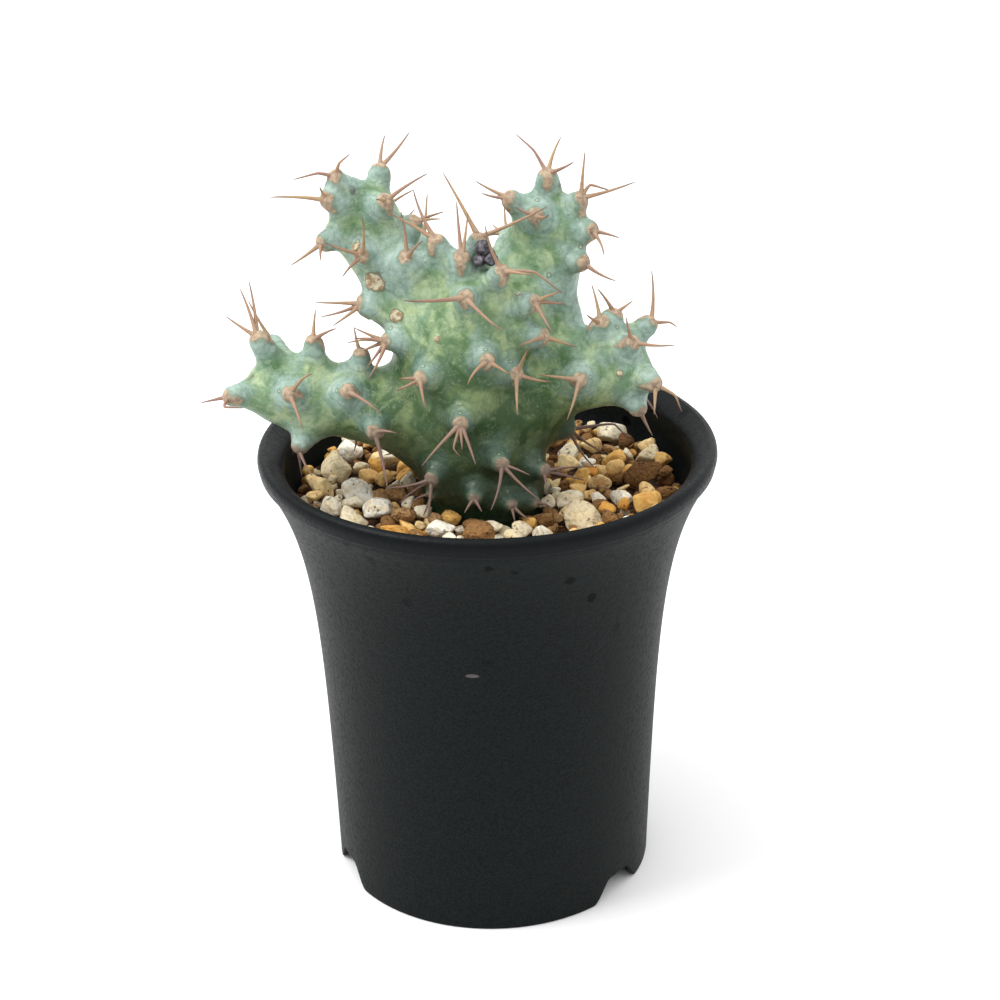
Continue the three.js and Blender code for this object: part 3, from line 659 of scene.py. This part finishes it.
every_place = np.array([m["tip"] for name in STEMS for m in mounds[name]]
                       + [stem_axes["main_stem"][1](0)[0]])
grid_low = every_place.min(axis=0) - MARGIN - 4
grid_counts = np.ceil((every_place.max(axis=0) + MARGIN + 4 - grid_low) / CELL).astype(int)
grid_lines = [np.arange(n, dtype=np.float32) * CELL + low
              for n, low in zip(grid_counts, grid_low)]


def window(low, high):
    """The part of the grid between two corners, and its coordinates ready to combine."""
    first = np.clip(np.floor((low - grid_low) / CELL).astype(int), 0, grid_counts)
    last = np.clip(np.ceil((high - grid_low) / CELL).astype(int) + 1, 0, grid_counts)
    cuts = tuple(slice(a, b) for a, b in zip(first, last))
    coordinates = [line[cut].reshape([-1 if k == i else 1 for k in range(3)])
                   for i, (line, cut) in enumerate(zip(grid_lines, cuts))]
    return cuts, coordinates


FAR = 9.0
whole = np.full(grid_counts, FAR, dtype=np.float32)
own_fields = {}
for name, stem in STEMS.items():
    length, at = stem_axes[name]
    stops = np.linspace(0, length - stem["tip_short"], max(6, int(length / 1.6)))
    centres = [at(s) for s in stops]
    line = np.array([c[0] for c in centres])
    reach = max(c[3] for c in centres) + MARGIN
    tips = np.array([m["tip"] for m in mounds[name]])
    low = np.minimum((line - reach).min(axis=0), tips.min(axis=0) - MARGIN)
    high = np.maximum((line + reach).max(axis=0), tips.max(axis=0) + MARGIN)
    cuts, grid = window(low, high)
    own = np.full([c.stop - c.start for c in cuts], FAR, dtype=np.float32)
    for start, end in zip(centres, centres[1:]):
        own = np.minimum(own, away_from_spoke(grid, start[0], end[0], start[3] - SLIMMER,
                                              end[3] - SLIMMER))
    for mound in mounds[name]:
        wide = 1.25 + 0.08 * mound["rise"]
        foot = 4.3 - 0.3 * mound["rise"]
        near = 5 + TUBERCLES_MERGE
        spot_low = np.maximum(np.minimum(mound["root"], mound["tip"]) - near, low)
        spot_high = np.minimum(np.maximum(mound["root"], mound["tip"]) + near, high)
        spot_cuts, spot_grid = window(spot_low, spot_high)
        inner_cuts = tuple(slice(s.start - c.start, s.stop - c.start)
                           for s, c in zip(spot_cuts, cuts))
        spoke = away_from_spoke(spot_grid, mound["root"], mound["tip"] - mound["out"] * wide,
                                foot, wide)
        own[inner_cuts] = round_merge(own[inner_cuts], spoke, TUBERCLES_MERGE)
    own_fields[name] = (cuts, own)
    whole[cuts] = round_merge(whole[cuts], own, STEMS_MERGE)


def sample(field, points):
    """The grid's values at any points, by straight-line mixing of the eight nearest."""
    spots = np.clip((points - grid_low) / CELL, 0, np.array(field.shape) - 1.001)
    base = np.floor(spots).astype(int)
    part = spots - base
    total = 0
    for corner in np.ndindex(2, 2, 2):
        weight = np.prod(np.where(corner, part, 1 - part), axis=1)
        total = total + field[tuple((base + corner).T)] * weight
    return total


def slope(field, points):
    """The direction in which the field grows fastest at each point."""
    steps = np.eye(3) * CELL * 0.8
    rises = [sample(field, points + s) - sample(field, points - s) for s in steps]
    direction = np.stack(rises, axis=1)
    return direction / np.maximum(np.linalg.norm(direction, axis=1, keepdims=True), 1e-9)


def draw_skin(field):
    """Points and four-sided faces of the surface where the field passes through zero."""
    inside = field < 0
    counts = np.array(field.shape)
    filled = sum(inside[tuple(slice(c, n - 1 + c) for c, n in zip(corner, counts))].astype(np.int8)
                 for corner in np.ndindex(2, 2, 2))
    crossed = (filled > 0) & (filled < 8)
    number = np.full(crossed.shape, -1, dtype=np.int64)
    cells = np.argwhere(crossed)
    number[crossed] = np.arange(len(cells))
    total = np.zeros((len(cells), 3))
    count = np.zeros(len(cells))
    faces = []
    for axis in range(3):
        step = np.eye(3, dtype=int)[axis]
        others = [np.eye(3, dtype=int)[(axis + k) % 3] for k in (1, 2)]
        for first in (0, 1):
            for second in (0, 1):
                corner = others[0] * first + others[1] * second
                near = field[tuple((cells + corner).T)]
                far = field[tuple((cells + corner + step).T)]
                hit = (near < 0) != (far < 0)
                share = near[hit] / (near[hit] - far[hit])
                total[hit] += corner + share[:, None] * step
                count[hit] += 1
        near = inside[tuple(slice(0, n - s) for n, s in zip(counts, step))]
        far = inside[tuple(slice(s, n) for n, s in zip(counts, step))]
        edges = np.argwhere(near != far)
        around = [number[tuple((edges - shift).T)] for shift in
                  (0 * step, others[0], others[0] + others[1], others[1])]
        quads = np.stack(around, axis=1)
        starts_inside = near[tuple(edges.T)]
        quads[~starts_inside] = quads[~starts_inside][:, ::-1]
        faces.append(quads)
    return grid_low + (cells + total / count[:, None]) * CELL, np.concatenate(faces)


def lumps(points, size, seed):
    """Smooth noise from -1 to 1 with lumps of about the given size."""
    spots = np.asarray(points) / size + seed * 3.17
    base = np.floor(spots)
    part = spots - base
    part = part * part * (3 - 2 * part)
    total = 0
    for corner in np.ndindex(2, 2, 2):
        knot = (base + corner) @ np.array([127.1, 311.7, 74.7]) + seed * 19.19
        value = np.modf(np.abs(np.sin(knot) * 43758.5453))[0]
        total = total + value * np.prod(np.where(corner, part, 1 - part), axis=1)
    return total * 2 - 1


def biggest_part(points, faces):
    """Drops any crumb that isn't joined to the biggest part of a surface."""
    label = np.arange(len(points))
    while True:
        lowest = label[faces].min(axis=1)
        before = label.copy()
        for corner in range(4):
            np.minimum.at(label, faces[:, corner], lowest)
        label = label[label]
        if (label == before).all():
            break
    names, sizes = np.unique(label, return_counts=True)
    kept = label == names[sizes.argmax()]
    renumber = np.cumsum(kept) - 1
    return points[kept], renumber[faces[kept[faces].all(axis=1)]]


all_mounds = [m for name in STEMS for m in mounds[name]]
OLD_HEIGHT = STEM_FOOT + 9     # tubercles below this are old and small


def on_skin(guess):
    """The nearest place on the skin to a point close to it."""
    for _ in range(4):
        where = np.asarray(guess, dtype=float)[None, :]
        guess = where[0] - slope(whole, where)[0] * sample(whole, where)[0]
    return guess


# The dormant eye just above each tubercle's tip, the growing points with their dried leaf stubs,
# and the corky scars where something broke off, as [x, y, z, radius].
eyes = np.array([on_skin(m["tip"] + m["up"] * 2.5 - m["out"] * 1.2) for m in all_mounds])
growth_points = [on_skin(place) for place in
                 ((-20.1, -1.8, 120.8), (-37.1, -6.8, 91.9), (22.1, -8.5, 98.8), (12, 2.3, 119.8))]
SCARS = [[-20.2, -4.4, 112.6, 0.9], [-17.0, -3.6, 106.5, 1.9], [-13.8, -6.2, 101.6, 1.2],
         [-7.4, -11.1, 99.6, 0.55], [21.0, -10.0, 93.0, 0.6], [5.3, -8.9, 105.9, 0.5]]
scars = [(on_skin(place), radius) for *place, radius in SCARS]


def shield_distance(points, mound):
    """Distance from the edge of a tubercle's horny shield, which runs down from its tip."""
    young = mound["tip"][2] > OLD_HEIGHT
    run = 1.3 + 0.42 * mound["rise"] if young else 0.9
    start = mound["tip"] - mound["out"] * 0.5
    slant = -mound["up"] - mound["out"] * 0.85
    spoke = slant / np.linalg.norm(slant) * run
    shares = np.clip((points - start) @ spoke / run ** 2, 0, 1)
    away = np.linalg.norm(points - start - shares[:, None] * spoke, axis=1)
    wide = 1.3 if young else 0.95
    return away - wide * (1 - 0.8 * shares)


def mark_skin(points):
    """How far each point is from the nearest tip, shield edge, eye, growing point and scar."""
    def nearest(distances):
        return np.minimum.reduce([np.full(len(points), FAR), *distances])

    def away(place):
        return np.linalg.norm(points - place, axis=1)

    return {"tip_away": nearest(away(m["tip"]) for m in all_mounds),
            "shield": nearest(shield_distance(points, m) for m in all_mounds),
            "eye_away": nearest(away(eye) for eye in eyes),
            "growth_away": nearest(away(spot) for spot in growth_points),
            "scar": nearest(away(spot) / radius for spot, radius in scars)}


def wrinkle(points, marks):
    """How far the skin stands out or in, in mm, at each point."""
    swell = (0.22 * lumps(points, 5.0, 1) + 0.1 * lumps(points, 2.1, 2)
             + 0.03 * lumps(points, 0.9, 3))
    ringed = np.clip(1 - np.abs(marks["tip_away"] - 3.8) / 2.2, 0, 1)
    rings = 0.05 * ringed * np.sin(marks["tip_away"] * 5.2 + 2.5 * lumps(points, 2.5, 4))
    rough_edge = marks["shield"] + 0.12 * lumps(points, 1.2, 5)
    plate = np.clip(0.5 - rough_edge / 0.3, 0, 1)
    cork = plate * (0.1 + 0.05 * lumps(points, 0.7, 6))
    eye = 0.1 * np.clip(1 - marks["eye_away"] / 0.5, 0, 1)
    bits = np.clip(1 - marks["growth_away"] / 1.3, 0, 1) * 0.3 * lumps(points, 0.75, 7)
    knob = np.clip(1.2 - marks["scar"], 0, 0.5) * (0.9 + 0.5 * lumps(points, 0.8, 8))
    return swell * (1 - plate) + rings + cork + eye + bits + knob


# Skin: waxy blue-green round the tubercles, yellow-green and deep green between them, with corky
# tan shields; painted light brightens it higher up and painted shade darkens it low down.
skin, tree, shader = new_material("plant_skin", Subsurface_Weight=0.12, Subsurface_Scale=0.0012,
                                  Subsurface_Radius=(0.6, 1.0, 0.4), Specular_IOR_Level=0.32)
tip_away, shield_away, eye_away, growth_away, scar_away = (
    read_mark(tree, mark) for mark in ("tip_away", "shield", "eye_away", "growth_away", "scar"))
# How high and how far out a point is: it sets where the young skin's bloom and streaks show, and
# where painted light brightens and painted shade darkens the skin.
from_foot = vector_maths(tree, "SUBTRACT", object_place(tree),
                         pot_axis + Vector((-2.5, -2, STEM_FOOT)) * MM)
height = part_of(tree, from_foot, "Z")
sideways = vector_maths(tree, "MULTIPLY", from_foot, (1.1, 1.1, 0))
height_and_reach = maths(tree, "ADD", height, vector_maths(tree, "LENGTH", sideways))

tip_paint = mix_paint(tree, cloud(tree, 2.6, 0.35, 0.7, 4, 0.6, offset=2), (78, 108, 94),
                      (120, 144, 130))
valley_paint = mix_paint(tree, cloud(tree, 4.5, 0.4, 0.62, 4, 0.8, offset=3), (76, 107, 62),
                         (136, 156, 104))
wandering = roughened(tree, tip_away, cloud(tree, 3.6, 0.2, 0.8, 4, 0.5, offset=1), 5.0)
deep = times(tree, cloud(tree, 5.2, 0.48, 0.66, 4, 1.0, offset=4), ramp(tree, tip_away, 3.2, 5.2))
bloom = times(tree, ramp(tree, tip_away, 4.6, 2.0),
              times(tree, cloud(tree, 2.2, 0.25, 0.65, 4, offset=5),
                    ramp(tree, height_and_reach, 0.016, 0.036, 0.25, 1)))
fresh_paint = coats(
    tree, tip_paint,
    (ramp(tree, wandering, 4.6, 9.0), valley_paint),
    (deep, (46, 84, 34), 0.88),
    (bloom, (146, 166, 158), 0.4))
# Painted light: the paint is brightened higher up and further out, where light falls from above.
skin_paint = add_node(tree, "ShaderNodeGamma", {
    "Color": fresh_paint, "Gamma": ramp(tree, height_and_reach, 0.037, 0.049, 1, 0.76)}).outputs[0]

young = times(tree, ramp(tree, height_and_reach, 0.038, 0.050),
              cloud(tree, 3, 0.3, 0.7, 4, 0.5, offset=16))
# Painted shade: the skin darkens towards the foot, where the rim and the arms shade the stem.
low_down = ramp(tree, roughened(tree, height_and_reach, cloud(tree, 6, 0.2, 0.8, 3, offset=6), 0.006),
           0.054, 0.020)
ring_wave = maths(tree, "SINE", roughened(tree, times(tree, tip_away, 5.2),
                                          cloud(tree, 2.5, 0.2, 0.8, 3), 6))
ring_mask = times(tree, ramp(tree, tip_away, 2.0, 3.2), ramp(tree, tip_away, 6.0, 4.4))
streaks = cloud(tree, 0.9, 0.5, 0.75, 5, 1.5, offset=8)
shield_edge = roughened(tree, shield_away, cloud(tree, 0.8, 0.1, 0.9, 3, offset=9), 0.5)
shield = ramp(tree, shield_edge, 0.28, 0.12)
shield_paint = coats(
    tree, mix_paint(tree, cloud(tree, 0.8, 0.35, 0.65, 4, offset=10), (138, 119, 101),
                    (172, 153, 128)),
    (cloud(tree, 0.6, 0.58, 0.7, 3, offset=11), (96, 74, 60), 0.5),
    (ramp(tree, height, 0.030, 0.008), (100, 86, 82), 0.6))
scar_rim = roughened(tree, scar_away, cloud(tree, 0.9, 0.2, 0.8, 3, offset=17), 0.3)
scar_paint = mix_paint(tree, cloud(tree, 0.8, 0.4, 0.6, 3, offset=18), (184, 178, 150),
                       (140, 114, 86))
growth = times(tree, ramp(tree, growth_away, 1.2, 0.2),
               ramp(tree, cloud(tree, 0.5, 0.3, 0.7, 2, offset=12), 0, 1, 0.35, 0.9))
skin_paint = coats(
    tree, skin_paint,
    (young, (172, 196, 190), 0.2),
    # painted shade low on the stem
    (low_down, (18, 33, 14), 0.93),
    (times(tree, ring_mask, ramp(tree, ring_wave, 0.2, 1.0, 0, 0.22)), (54, 82, 62)),
    (cloud(tree, 0.8, 0.35, 0.65, 4, offset=15), (60, 88, 58), 0.22),
    (cloud(tree, 0.55, 0.66, 0.74, 2, offset=7), (60, 84, 66), 0.5),
    (times(tree, streaks, ramp(tree, height_and_reach, 0.020, 0.044, 0.03, 0.25)), (190, 205, 178)),
    (ramp(tree, eye_away, 0.55, 0.4, 0, 0.5), (62, 76, 58)),
    (times(tree, ramp(tree, eye_away, 0.3, 0.2), ramp(tree, height_and_reach, 0.020, 0.042, 0.15, 0.75)),
     (176, 184, 158)),
    (ramp(tree, shield_edge, 0.75, 0.3), (96, 110, 84), 0.5),
    (shield, shield_paint),
    (ramp(tree, scar_rim, 1.22, 1.1, 0, 0.75), (98, 84, 60)),
    (ramp(tree, scar_rim, 1.06, 0.9), scar_paint),
    (growth, (70, 62, 56)))
pores = raise_surface(tree, cloud(tree, 0.45, 0.2, 0.8, 4, offset=13), 0.05)
cork = times(tree, cloud(tree, 0.6, 0.2, 0.8, 4, offset=14), shield)
finish_shader(tree, shader, skin_paint, raise_surface(tree, cork, 0.07, pores),
              Roughness=ramp(tree, shield, 0, 1, 0.46, 0.85))

SEAM = 0.8          # how far two stems' skins run on under each other
SEAM_SINK = 0.03    # how far the hidden one lies below
for name in STEMS:
    cuts, own = own_fields[name]
    nearest_other = np.full(own.shape, FAR, dtype=np.float32)
    for other in STEMS:
        if other != name:
            other_cuts, other_own = own_fields[other]
            spread = np.full(grid_counts, FAR, dtype=np.float32)
            spread[other_cuts] = other_own
            nearest_other = np.minimum(nearest_other, spread[cuts])
    claim = own - nearest_other
    run_out = np.clip(claim / SEAM * 0.5 + 0.5, 0, 1)
    piece_field = np.full(grid_counts, FAR, dtype=np.float32)
    piece_field[cuts] = np.maximum(whole[cuts] + SEAM_SINK * run_out, claim - SEAM)
    points, faces = biggest_part(*draw_skin(piece_field))
    marks = mark_skin(points)
    points = points + slope(whole, points) * wrinkle(points, marks)[:, None]
    make_piece(f"{name}_body", points, faces, skin, [name], marks)

# ======== Spines ========
# Hard, dry, tapering spines, two to six from each shield, straw to orange-brown and greyer at
# the tip. They are grown from the shield, and some are bent or hooked.

spine_dice = np.random.default_rng(11)
SPINE_SIDES = 8
SPINE_RINGS = 16
BEND_SOFT = 0.16       # how far a bent spine's corner is cut short, as a share of each part
BEND_REACH = 0.14      # how much of the spine's length the rounding takes, each way

spine_horn, tree, shader = new_material("spine", Specular_IOR_Level=0.35, Roughness=0.55,
                                        Subsurface_Weight=0.1, Subsurface_Scale=0.0004)
along = read_mark(tree, "along")
height = part_of(tree, object_place(tree), "Z")
horn_paint = coats(
    tree, mix_paint(tree, read_mark(tree, "tone"), (144, 113, 97), (160, 133, 98)),
    (ramp(tree, along, 0.3, 0.0), (158, 134, 110)),
    (ramp(tree, along, 0.62, 1.0, 0, 0.7), (88, 66, 58)),
    (ramp(tree, height, (STEM_FOOT + 30) * MM, (STEM_FOOT + 12) * MM, 0, 0.75), (98, 80, 78)),
    (cloud(tree, 0.7, 0.5, 0.7, 3), (130, 92, 76), 0.35))
finish_shader(tree, shader, horn_paint,
              raise_surface(tree, cloud(tree, 0.35, 0.2, 0.8, 3), 0.04))


def spine_path(mound, spine):
    """A spine's middle line from inside the shield to its tip, with a slight natural bend."""
    lift, swing = math.radians(spine[0]), math.radians(spine[1])
    direction = (mound["out"] * math.cos(lift) * math.cos(swing)
                 + mound["around"] * math.cos(lift) * math.sin(swing)
                 + mound["up"] * math.sin(lift))
    foot = mound["tip"] - mound["out"] * 0.7 + direction * 0.25
    end = mound["tip"] + direction * (spine[2] - 0.15)
    sag = np.cross(direction, spine_dice.normal(size=3)) * spine[2] * 0.03
    shares = np.linspace(0, 1, SPINE_RINGS)
    if len(spine) == 4:
        finish = end + np.array(spine[3], dtype=float)
        first = np.linalg.norm(end - foot)
        bend = first / (first + np.linalg.norm(finish - end))
        straight = np.where(shares[:, None] < bend, foot + (end - foot) * shares[:, None] / bend,
                            end + (finish - end) * (shares[:, None] - bend) / (1 - bend))
        inside = (foot + (end - foot) * (1 - BEND_SOFT) + end
                  + (finish - end) * BEND_SOFT * 1.4) / 2
        corner = np.clip(1 - np.abs((shares - bend) / BEND_REACH), 0, 1)[:, None]
        return straight * (1 - 0.5 * corner) + inside * 0.5 * corner
    return foot + (end - foot) * shares[:, None] + sag * (4 * shares * (1 - shares))[:, None]


def spine_tube(path, thick):
    """A closed tapering tube along a path, flared at the foot where it grows from the shield."""
    steps = np.gradient(path, axis=0)
    steps /= np.linalg.norm(steps, axis=1, keepdims=True)
    across = np.cross(steps[0], [0.31, 0.52, 0.8])
    points = []
    reached = np.concatenate([[0], np.cumsum(np.linalg.norm(np.diff(path, axis=0), axis=1))])
    shares = reached / reached[-1]
    radii = thick * (1 - shares) ** 0.75 + 0.06 + 0.8 * thick * np.exp(-reached / 1.0)
    for spot, step, radius in zip(path, steps, radii):
        across = across - step * (across @ step)
        across /= np.linalg.norm(across)
        beside = np.cross(step, across)
        for side in range(SPINE_SIDES):
            turn = 2 * math.pi * side / SPINE_SIDES
            points.append(spot + radius * (across * math.cos(turn) + beside * math.sin(turn)))
    points += [path[0] - steps[0] * 0.1, path[-1] + steps[-1] * 0.12]
    along = np.concatenate([np.repeat(shares, SPINE_SIDES), [0, 1]])
    return points, close_rings(SPINE_SIDES, SPINE_RINGS), along


for name in STEMS:
    points, faces, along, tone = [], [], [], []
    for mound in mounds[name]:
        low_down = mound["tip"][2] < OLD_HEIGHT + 10
        for spine in mound["spines"]:
            thick = (0.16 if low_down else 0.2) + 0.01 * spine[2]
            tube, tube_faces, tube_along = spine_tube(spine_path(mound, spine), thick)
            add_part(points, faces, tube, tube_faces)
            along += list(tube_along)
            tone += [spine_dice.random()] * len(tube)
    make_piece(f"{name}_spines", points, faces, spine_horn, [],
               {"along": along, "tone": tone})

# ======== Dried capsules ========
# Four withered flower capsules in the crown, dry, almost black and wrinkled, stuck together where
# they grew.

capsule_low, capsule_high = (np.array(c - pot_axis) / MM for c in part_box("dried_capsules"))
capsule_middle = (capsule_low + capsule_high) / 2


def ball(rounds):
    """Points and faces of an even unit ball, its twenty faces split a number of times."""
    golden = (1 + math.sqrt(5)) / 2
    points = [np.array(p, dtype=float) for p in (
        (-1, golden, 0), (1, golden, 0), (-1, -golden, 0), (1, -golden, 0),
        (0, -1, golden), (0, 1, golden), (0, -1, -golden), (0, 1, -golden),
        (golden, 0, -1), (golden, 0, 1), (-golden, 0, -1), (-golden, 0, 1))]
    points = [p / np.linalg.norm(p) for p in points]
    faces = [(0, 11, 5), (0, 5, 1), (0, 1, 7), (0, 7, 10), (0, 10, 11), (1, 5, 9), (5, 11, 4),
             (11, 10, 2), (10, 7, 6), (7, 1, 8), (3, 9, 4), (3, 4, 2), (3, 2, 6), (3, 6, 8),
             (3, 8, 9), (4, 9, 5), (2, 4, 11), (6, 2, 10), (8, 6, 7), (9, 8, 1)]
    for _ in range(rounds):
        halfway = {}

        def split(a, b):
            key = (min(a, b), max(a, b))
            if key not in halfway:
                middle = points[a] + points[b]
                points.append(middle / np.linalg.norm(middle))
                halfway[key] = len(points) - 1
            return halfway[key]

        finer = []
        for a, b, c in faces:
            ab, bc, ca = split(a, b), split(b, c), split(c, a)
            finer += [(a, ab, ca), (b, bc, ab), (c, ca, bc), (ab, bc, ca)]
        faces = finer
    return np.array(points), np.array(faces)


capsule_skin, tree, shader = new_material("dried_capsule", Roughness=0.36, Specular_IOR_Level=0.7)
# The pale grey in the mottling is partly the capsules' whitish bloom and partly painted highlight.
finish_shader(tree, shader,
              mix_paint(tree, cloud(tree, 0.9, 0.4, 0.65, 4), (22, 18, 22), (104, 98, 108)),
              raise_surface(tree, cloud(tree, 0.5, 0.2, 0.8, 4), 0.2))

CAPSULES = [(-0.3, -0.3, 1.2, 1.25), (-0.8, -1.2, -0.6, 1.0),   # x, y, z, radius
            (1.1, -1.0, -0.5, 1.0), (0.3, 0.7, -0.3, 1.4)]
fine_ball, fine_faces = ball(4)
points, faces = [], []
for i, (x, y, z, radius) in enumerate(CAPSULES):
    folds = 1 + 0.07 * np.sin(np.arctan2(fine_ball[:, 1], fine_ball[:, 0]) * 5 + i)
    dents = folds + 0.1 * lumps(fine_ball, 0.7, 20 + i)
    add_part(points, faces, capsule_middle + np.array([x, y, z])
             + fine_ball * dents[:, None] * radius, fine_faces)
make_piece("withered_capsules", points, faces, capsule_skin, ["dried_capsules"])

# ======== Potting mix ========
# A levelled bed of dark, damp, crumbly mix that fills the pot round the rootstock.

mix_brown, tree, shader = new_material("potting_mix", Roughness=0.95)
finish_shader(tree, shader,
              mix_paint(tree, cloud(tree, 1.6, 0.4, 0.6, 4), (44, 28, 16), (104, 66, 34)),
              raise_surface(tree, cloud(tree, 1.2, 0.2, 0.8, 5), 0.8))

BED_GAP = 0.3          # between the mix and what it touches
BED_CRUMB = 0.45       # how far the crumbs stand up
BED_COLUMNS = 200
socket = [(radius + BED_GAP, STEM_FOOT + z) for _, _, z, radius in
          STEMS["main_stem"]["sections"][:3]]
root_x, root_y = STEMS["main_stem"]["sections"][0][:2]


def bed_centre(z):
    return (root_x, root_y) if z in socket_heights else (0, 0)


BED_TOP = MIX_TOP - BED_CRUMB
socket_heights = {z for _, z in socket} | {socket[0][1] - BED_GAP, BED_TOP - 0.001}
outline = [(0, FLOOR_TOP + BED_GAP)]
bed_heights = np.linspace(FLOOR_TOP + BED_GAP, BED_TOP - 0.2, 24)
outline += [(inner_radius(z) - BED_GAP, z) for z in bed_heights]
outline += [(r, BED_TOP) for r in np.linspace(inner_radius(MIX_TOP) - BED_GAP - 0.2, 16, 28)]
outline += [(socket[-1][0] + 0.4, BED_TOP - 0.001)]
outline += list(reversed(socket)) + [(0, socket[0][1] - BED_GAP)]


def crumble(turns, radius, z):
    if z < BED_TOP - 0.01:
        return np.full(len(turns), float(z))
    spots = np.stack([radius * np.sin(turns), -radius * np.cos(turns), 0 * turns], axis=1)
    return z + BED_CRUMB * lumps(spots, 1.4, 30)


bed_points, bed_faces = turn_on_axis(outline, BED_COLUMNS, crumble, bed_centre)
make_piece("potting_mix_bed", bed_points, bed_faces, mix_brown, ["potting_mix"],
           sharp=40)

# ======== Grit on top ========
# Loose stones poured on the mix: off-white pumice with open pores, yellow volcanic kanuma, and
# brown baked-clay akadama. The big ones lie as placed, and small ones have filled in between.

grit_dice = np.random.default_rng(5)


def grit_material(name, dark, mid, light, stain, pore_shade, bump, bump_size):
    """A dry mineral: three mixed tones, each stone its own share, a stain, and painted shade in
    its open pores and dips.
    """
    material, tree, shader = new_material(name, Roughness=0.92, Specular_IOR_Level=0.2)
    tone = read_mark(tree, "tone")
    pores = cloud(tree, 0.75, 0.38, 0.28, 3, offset=4)
    grains = cloud(tree, bump_size, 0.2, 0.8, 5, offset=6)
    body = coats(
        tree, mix_paint(tree, ramp(tree, tone, 0.0, 0.5), dark, mid),
        (ramp(tree, tone, 0.5, 1.0), light),
        (cloud(tree, 2.2, 0.45, 0.7, 4), stain, 0.55),
        # painted shade in the pores and in the grain's dips
        (pores, pore_shade, 0.8),
        (ramp(tree, grains, 0.6, 0.2), pore_shade, 0.25))
    dips = maths(tree, "SUBTRACT", 1.0, pores)
    finish_shader(tree, shader, body,
                  raise_surface(tree, dips, 0.25, raise_surface(tree, grains, bump)))
    return material


GRIT = {
    "pumice": {
        "material": grit_material(
            "pumice", (206, 190, 156), (230, 220, 194), (238, 234, 222), (216, 192, 140),
            (120, 102, 78), 0.15, 0.7),
        "sharpness": 9, "rough": 0.045, "crumb": 0.02},
    "kanuma": {
        "material": grit_material(
            "kanuma", (198, 142, 62), (218, 174, 100), (230, 208, 156), (190, 118, 44),
            (124, 82, 40), 0.12, 0.8),
        "sharpness": 7, "rough": 0.04, "crumb": 0.012},
    "akadama": {
        "material": grit_material(
            "akadama", (112, 78, 44), (148, 109, 66), (176, 140, 96), (116, 76, 42),
            (56, 34, 20), 0.4, 0.6),
        "sharpness": 5, "rough": 0.075, "crumb": 0.05},
}
STONE_FACETS = 15


def stone_shape(kind, size, points, seed):
    """A broken lump that fills the given size: rounded facets, then dents and crumbs."""
    look = GRIT[kind]
    dice = np.random.default_rng(seed)
    faces_out = dice.normal(size=(STONE_FACETS, 3))
    faces_out /= np.linalg.norm(faces_out, axis=1, keepdims=True)
    depths = dice.uniform(0.74, 1.0, STONE_FACETS)
    pressed = np.clip(points @ faces_out.T, 0, None) / depths
    radii = (pressed ** look["sharpness"]).sum(axis=1) ** (-1 / look["sharpness"])
    radii = radii * (1 + look["rough"] * lumps(points, 0.5, seed)
                     + look["crumb"] * lumps(points, 0.16, seed + 1))
    shape = points * radii[:, None]
    low, high = shape.min(axis=0), shape.max(axis=0)
    return (shape - (low + high) / 2) / (high - low) * np.asarray(size)


stones = []
for node_name in sorted(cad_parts):
    kind = node_name.split("_")[0]
    if kind in GRIT and "grain" in node_name:
        low, high = (np.array(c - pot_axis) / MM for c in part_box(node_name))
        middle, size = (low + high) / 2, high - low
        seed = len(stones) + 1
        shape = stone_shape(kind, size, fine_ball, seed) + middle
        tone = [float(grit_dice.random())] * len(shape)
        make_piece(f"{node_name}_stone", shape, fine_faces, GRIT[kind]["material"],
                   [node_name], {"tone": tone})
        stones.append((*middle, size.mean() / 2))

SMALL_STONES = 460
GRIT_TOP = MIX_TOP + 5.2
TRIES = 14             # places looked at for each stone; it takes the lowest
small_ball, small_faces = ball(2)
loose = {kind: {"points": [], "faces": [], "tone": []} for kind in GRIT}
for number in range(SMALL_STONES):
    kind = grit_dice.choice(["pumice", "kanuma", "akadama"], p=[0.34, 0.38, 0.28])
    wide = float(grit_dice.choice([grit_dice.uniform(1.5, 2.4), grit_dice.uniform(2.4, 3.6)],
                                  p=[0.6, 0.4]))
    radius = wide / 2
    placed = np.array(stones)
    best = None
    for _ in range(TRIES):
        far = math.sqrt(grit_dice.uniform(0.06, 1)) * (inner_radius(MIX_TOP) - radius - 0.2)
        turn = grit_dice.uniform(0, 2 * math.pi)
        x, y = far * math.sin(turn), -far * math.cos(turn)
        apart = np.hypot(placed[:, 0] - x, placed[:, 1] - y)
        touch = (placed[:, 3] + radius) * 0.88
        under = apart < touch
        rest = MIX_TOP - 0.3 + radius * 0.7
        if under.any():
            climb = np.sqrt(touch[under] ** 2 - apart[under] ** 2) * 0.85
            rest = max(rest, float((placed[under, 2] + climb).max()))
        clear = sample(whole, np.array([[x, y, rest]]))[0] > radius * 0.7
        if clear and rest + radius < GRIT_TOP and (best is None or rest < best[2]):
            best = (x, y, rest)
    if best is None:
        continue
    stones.append((*best, radius))
    size = wide * grit_dice.uniform((0.95, 0.75, 0.62), (1.15, 0.95, 0.85))
    shape = stone_shape(kind, size, small_ball, 100 + number)
    turn = grit_dice.uniform(0, 2 * math.pi)
    spun = shape @ np.array([[math.cos(turn), math.sin(turn), 0],
                             [-math.sin(turn), math.cos(turn), 0], [0, 0, 1]])
    pile = loose[kind]
    add_part(pile["points"], pile["faces"], spun + np.array(best), small_faces)
    pile["tone"] += [float(grit_dice.random())] * len(shape)
for kind, pile in loose.items():
    make_piece(f"{kind}_small_stones", pile["points"], pile["faces"], GRIT[kind]["material"],
               [], {"tone": pile["tone"]})
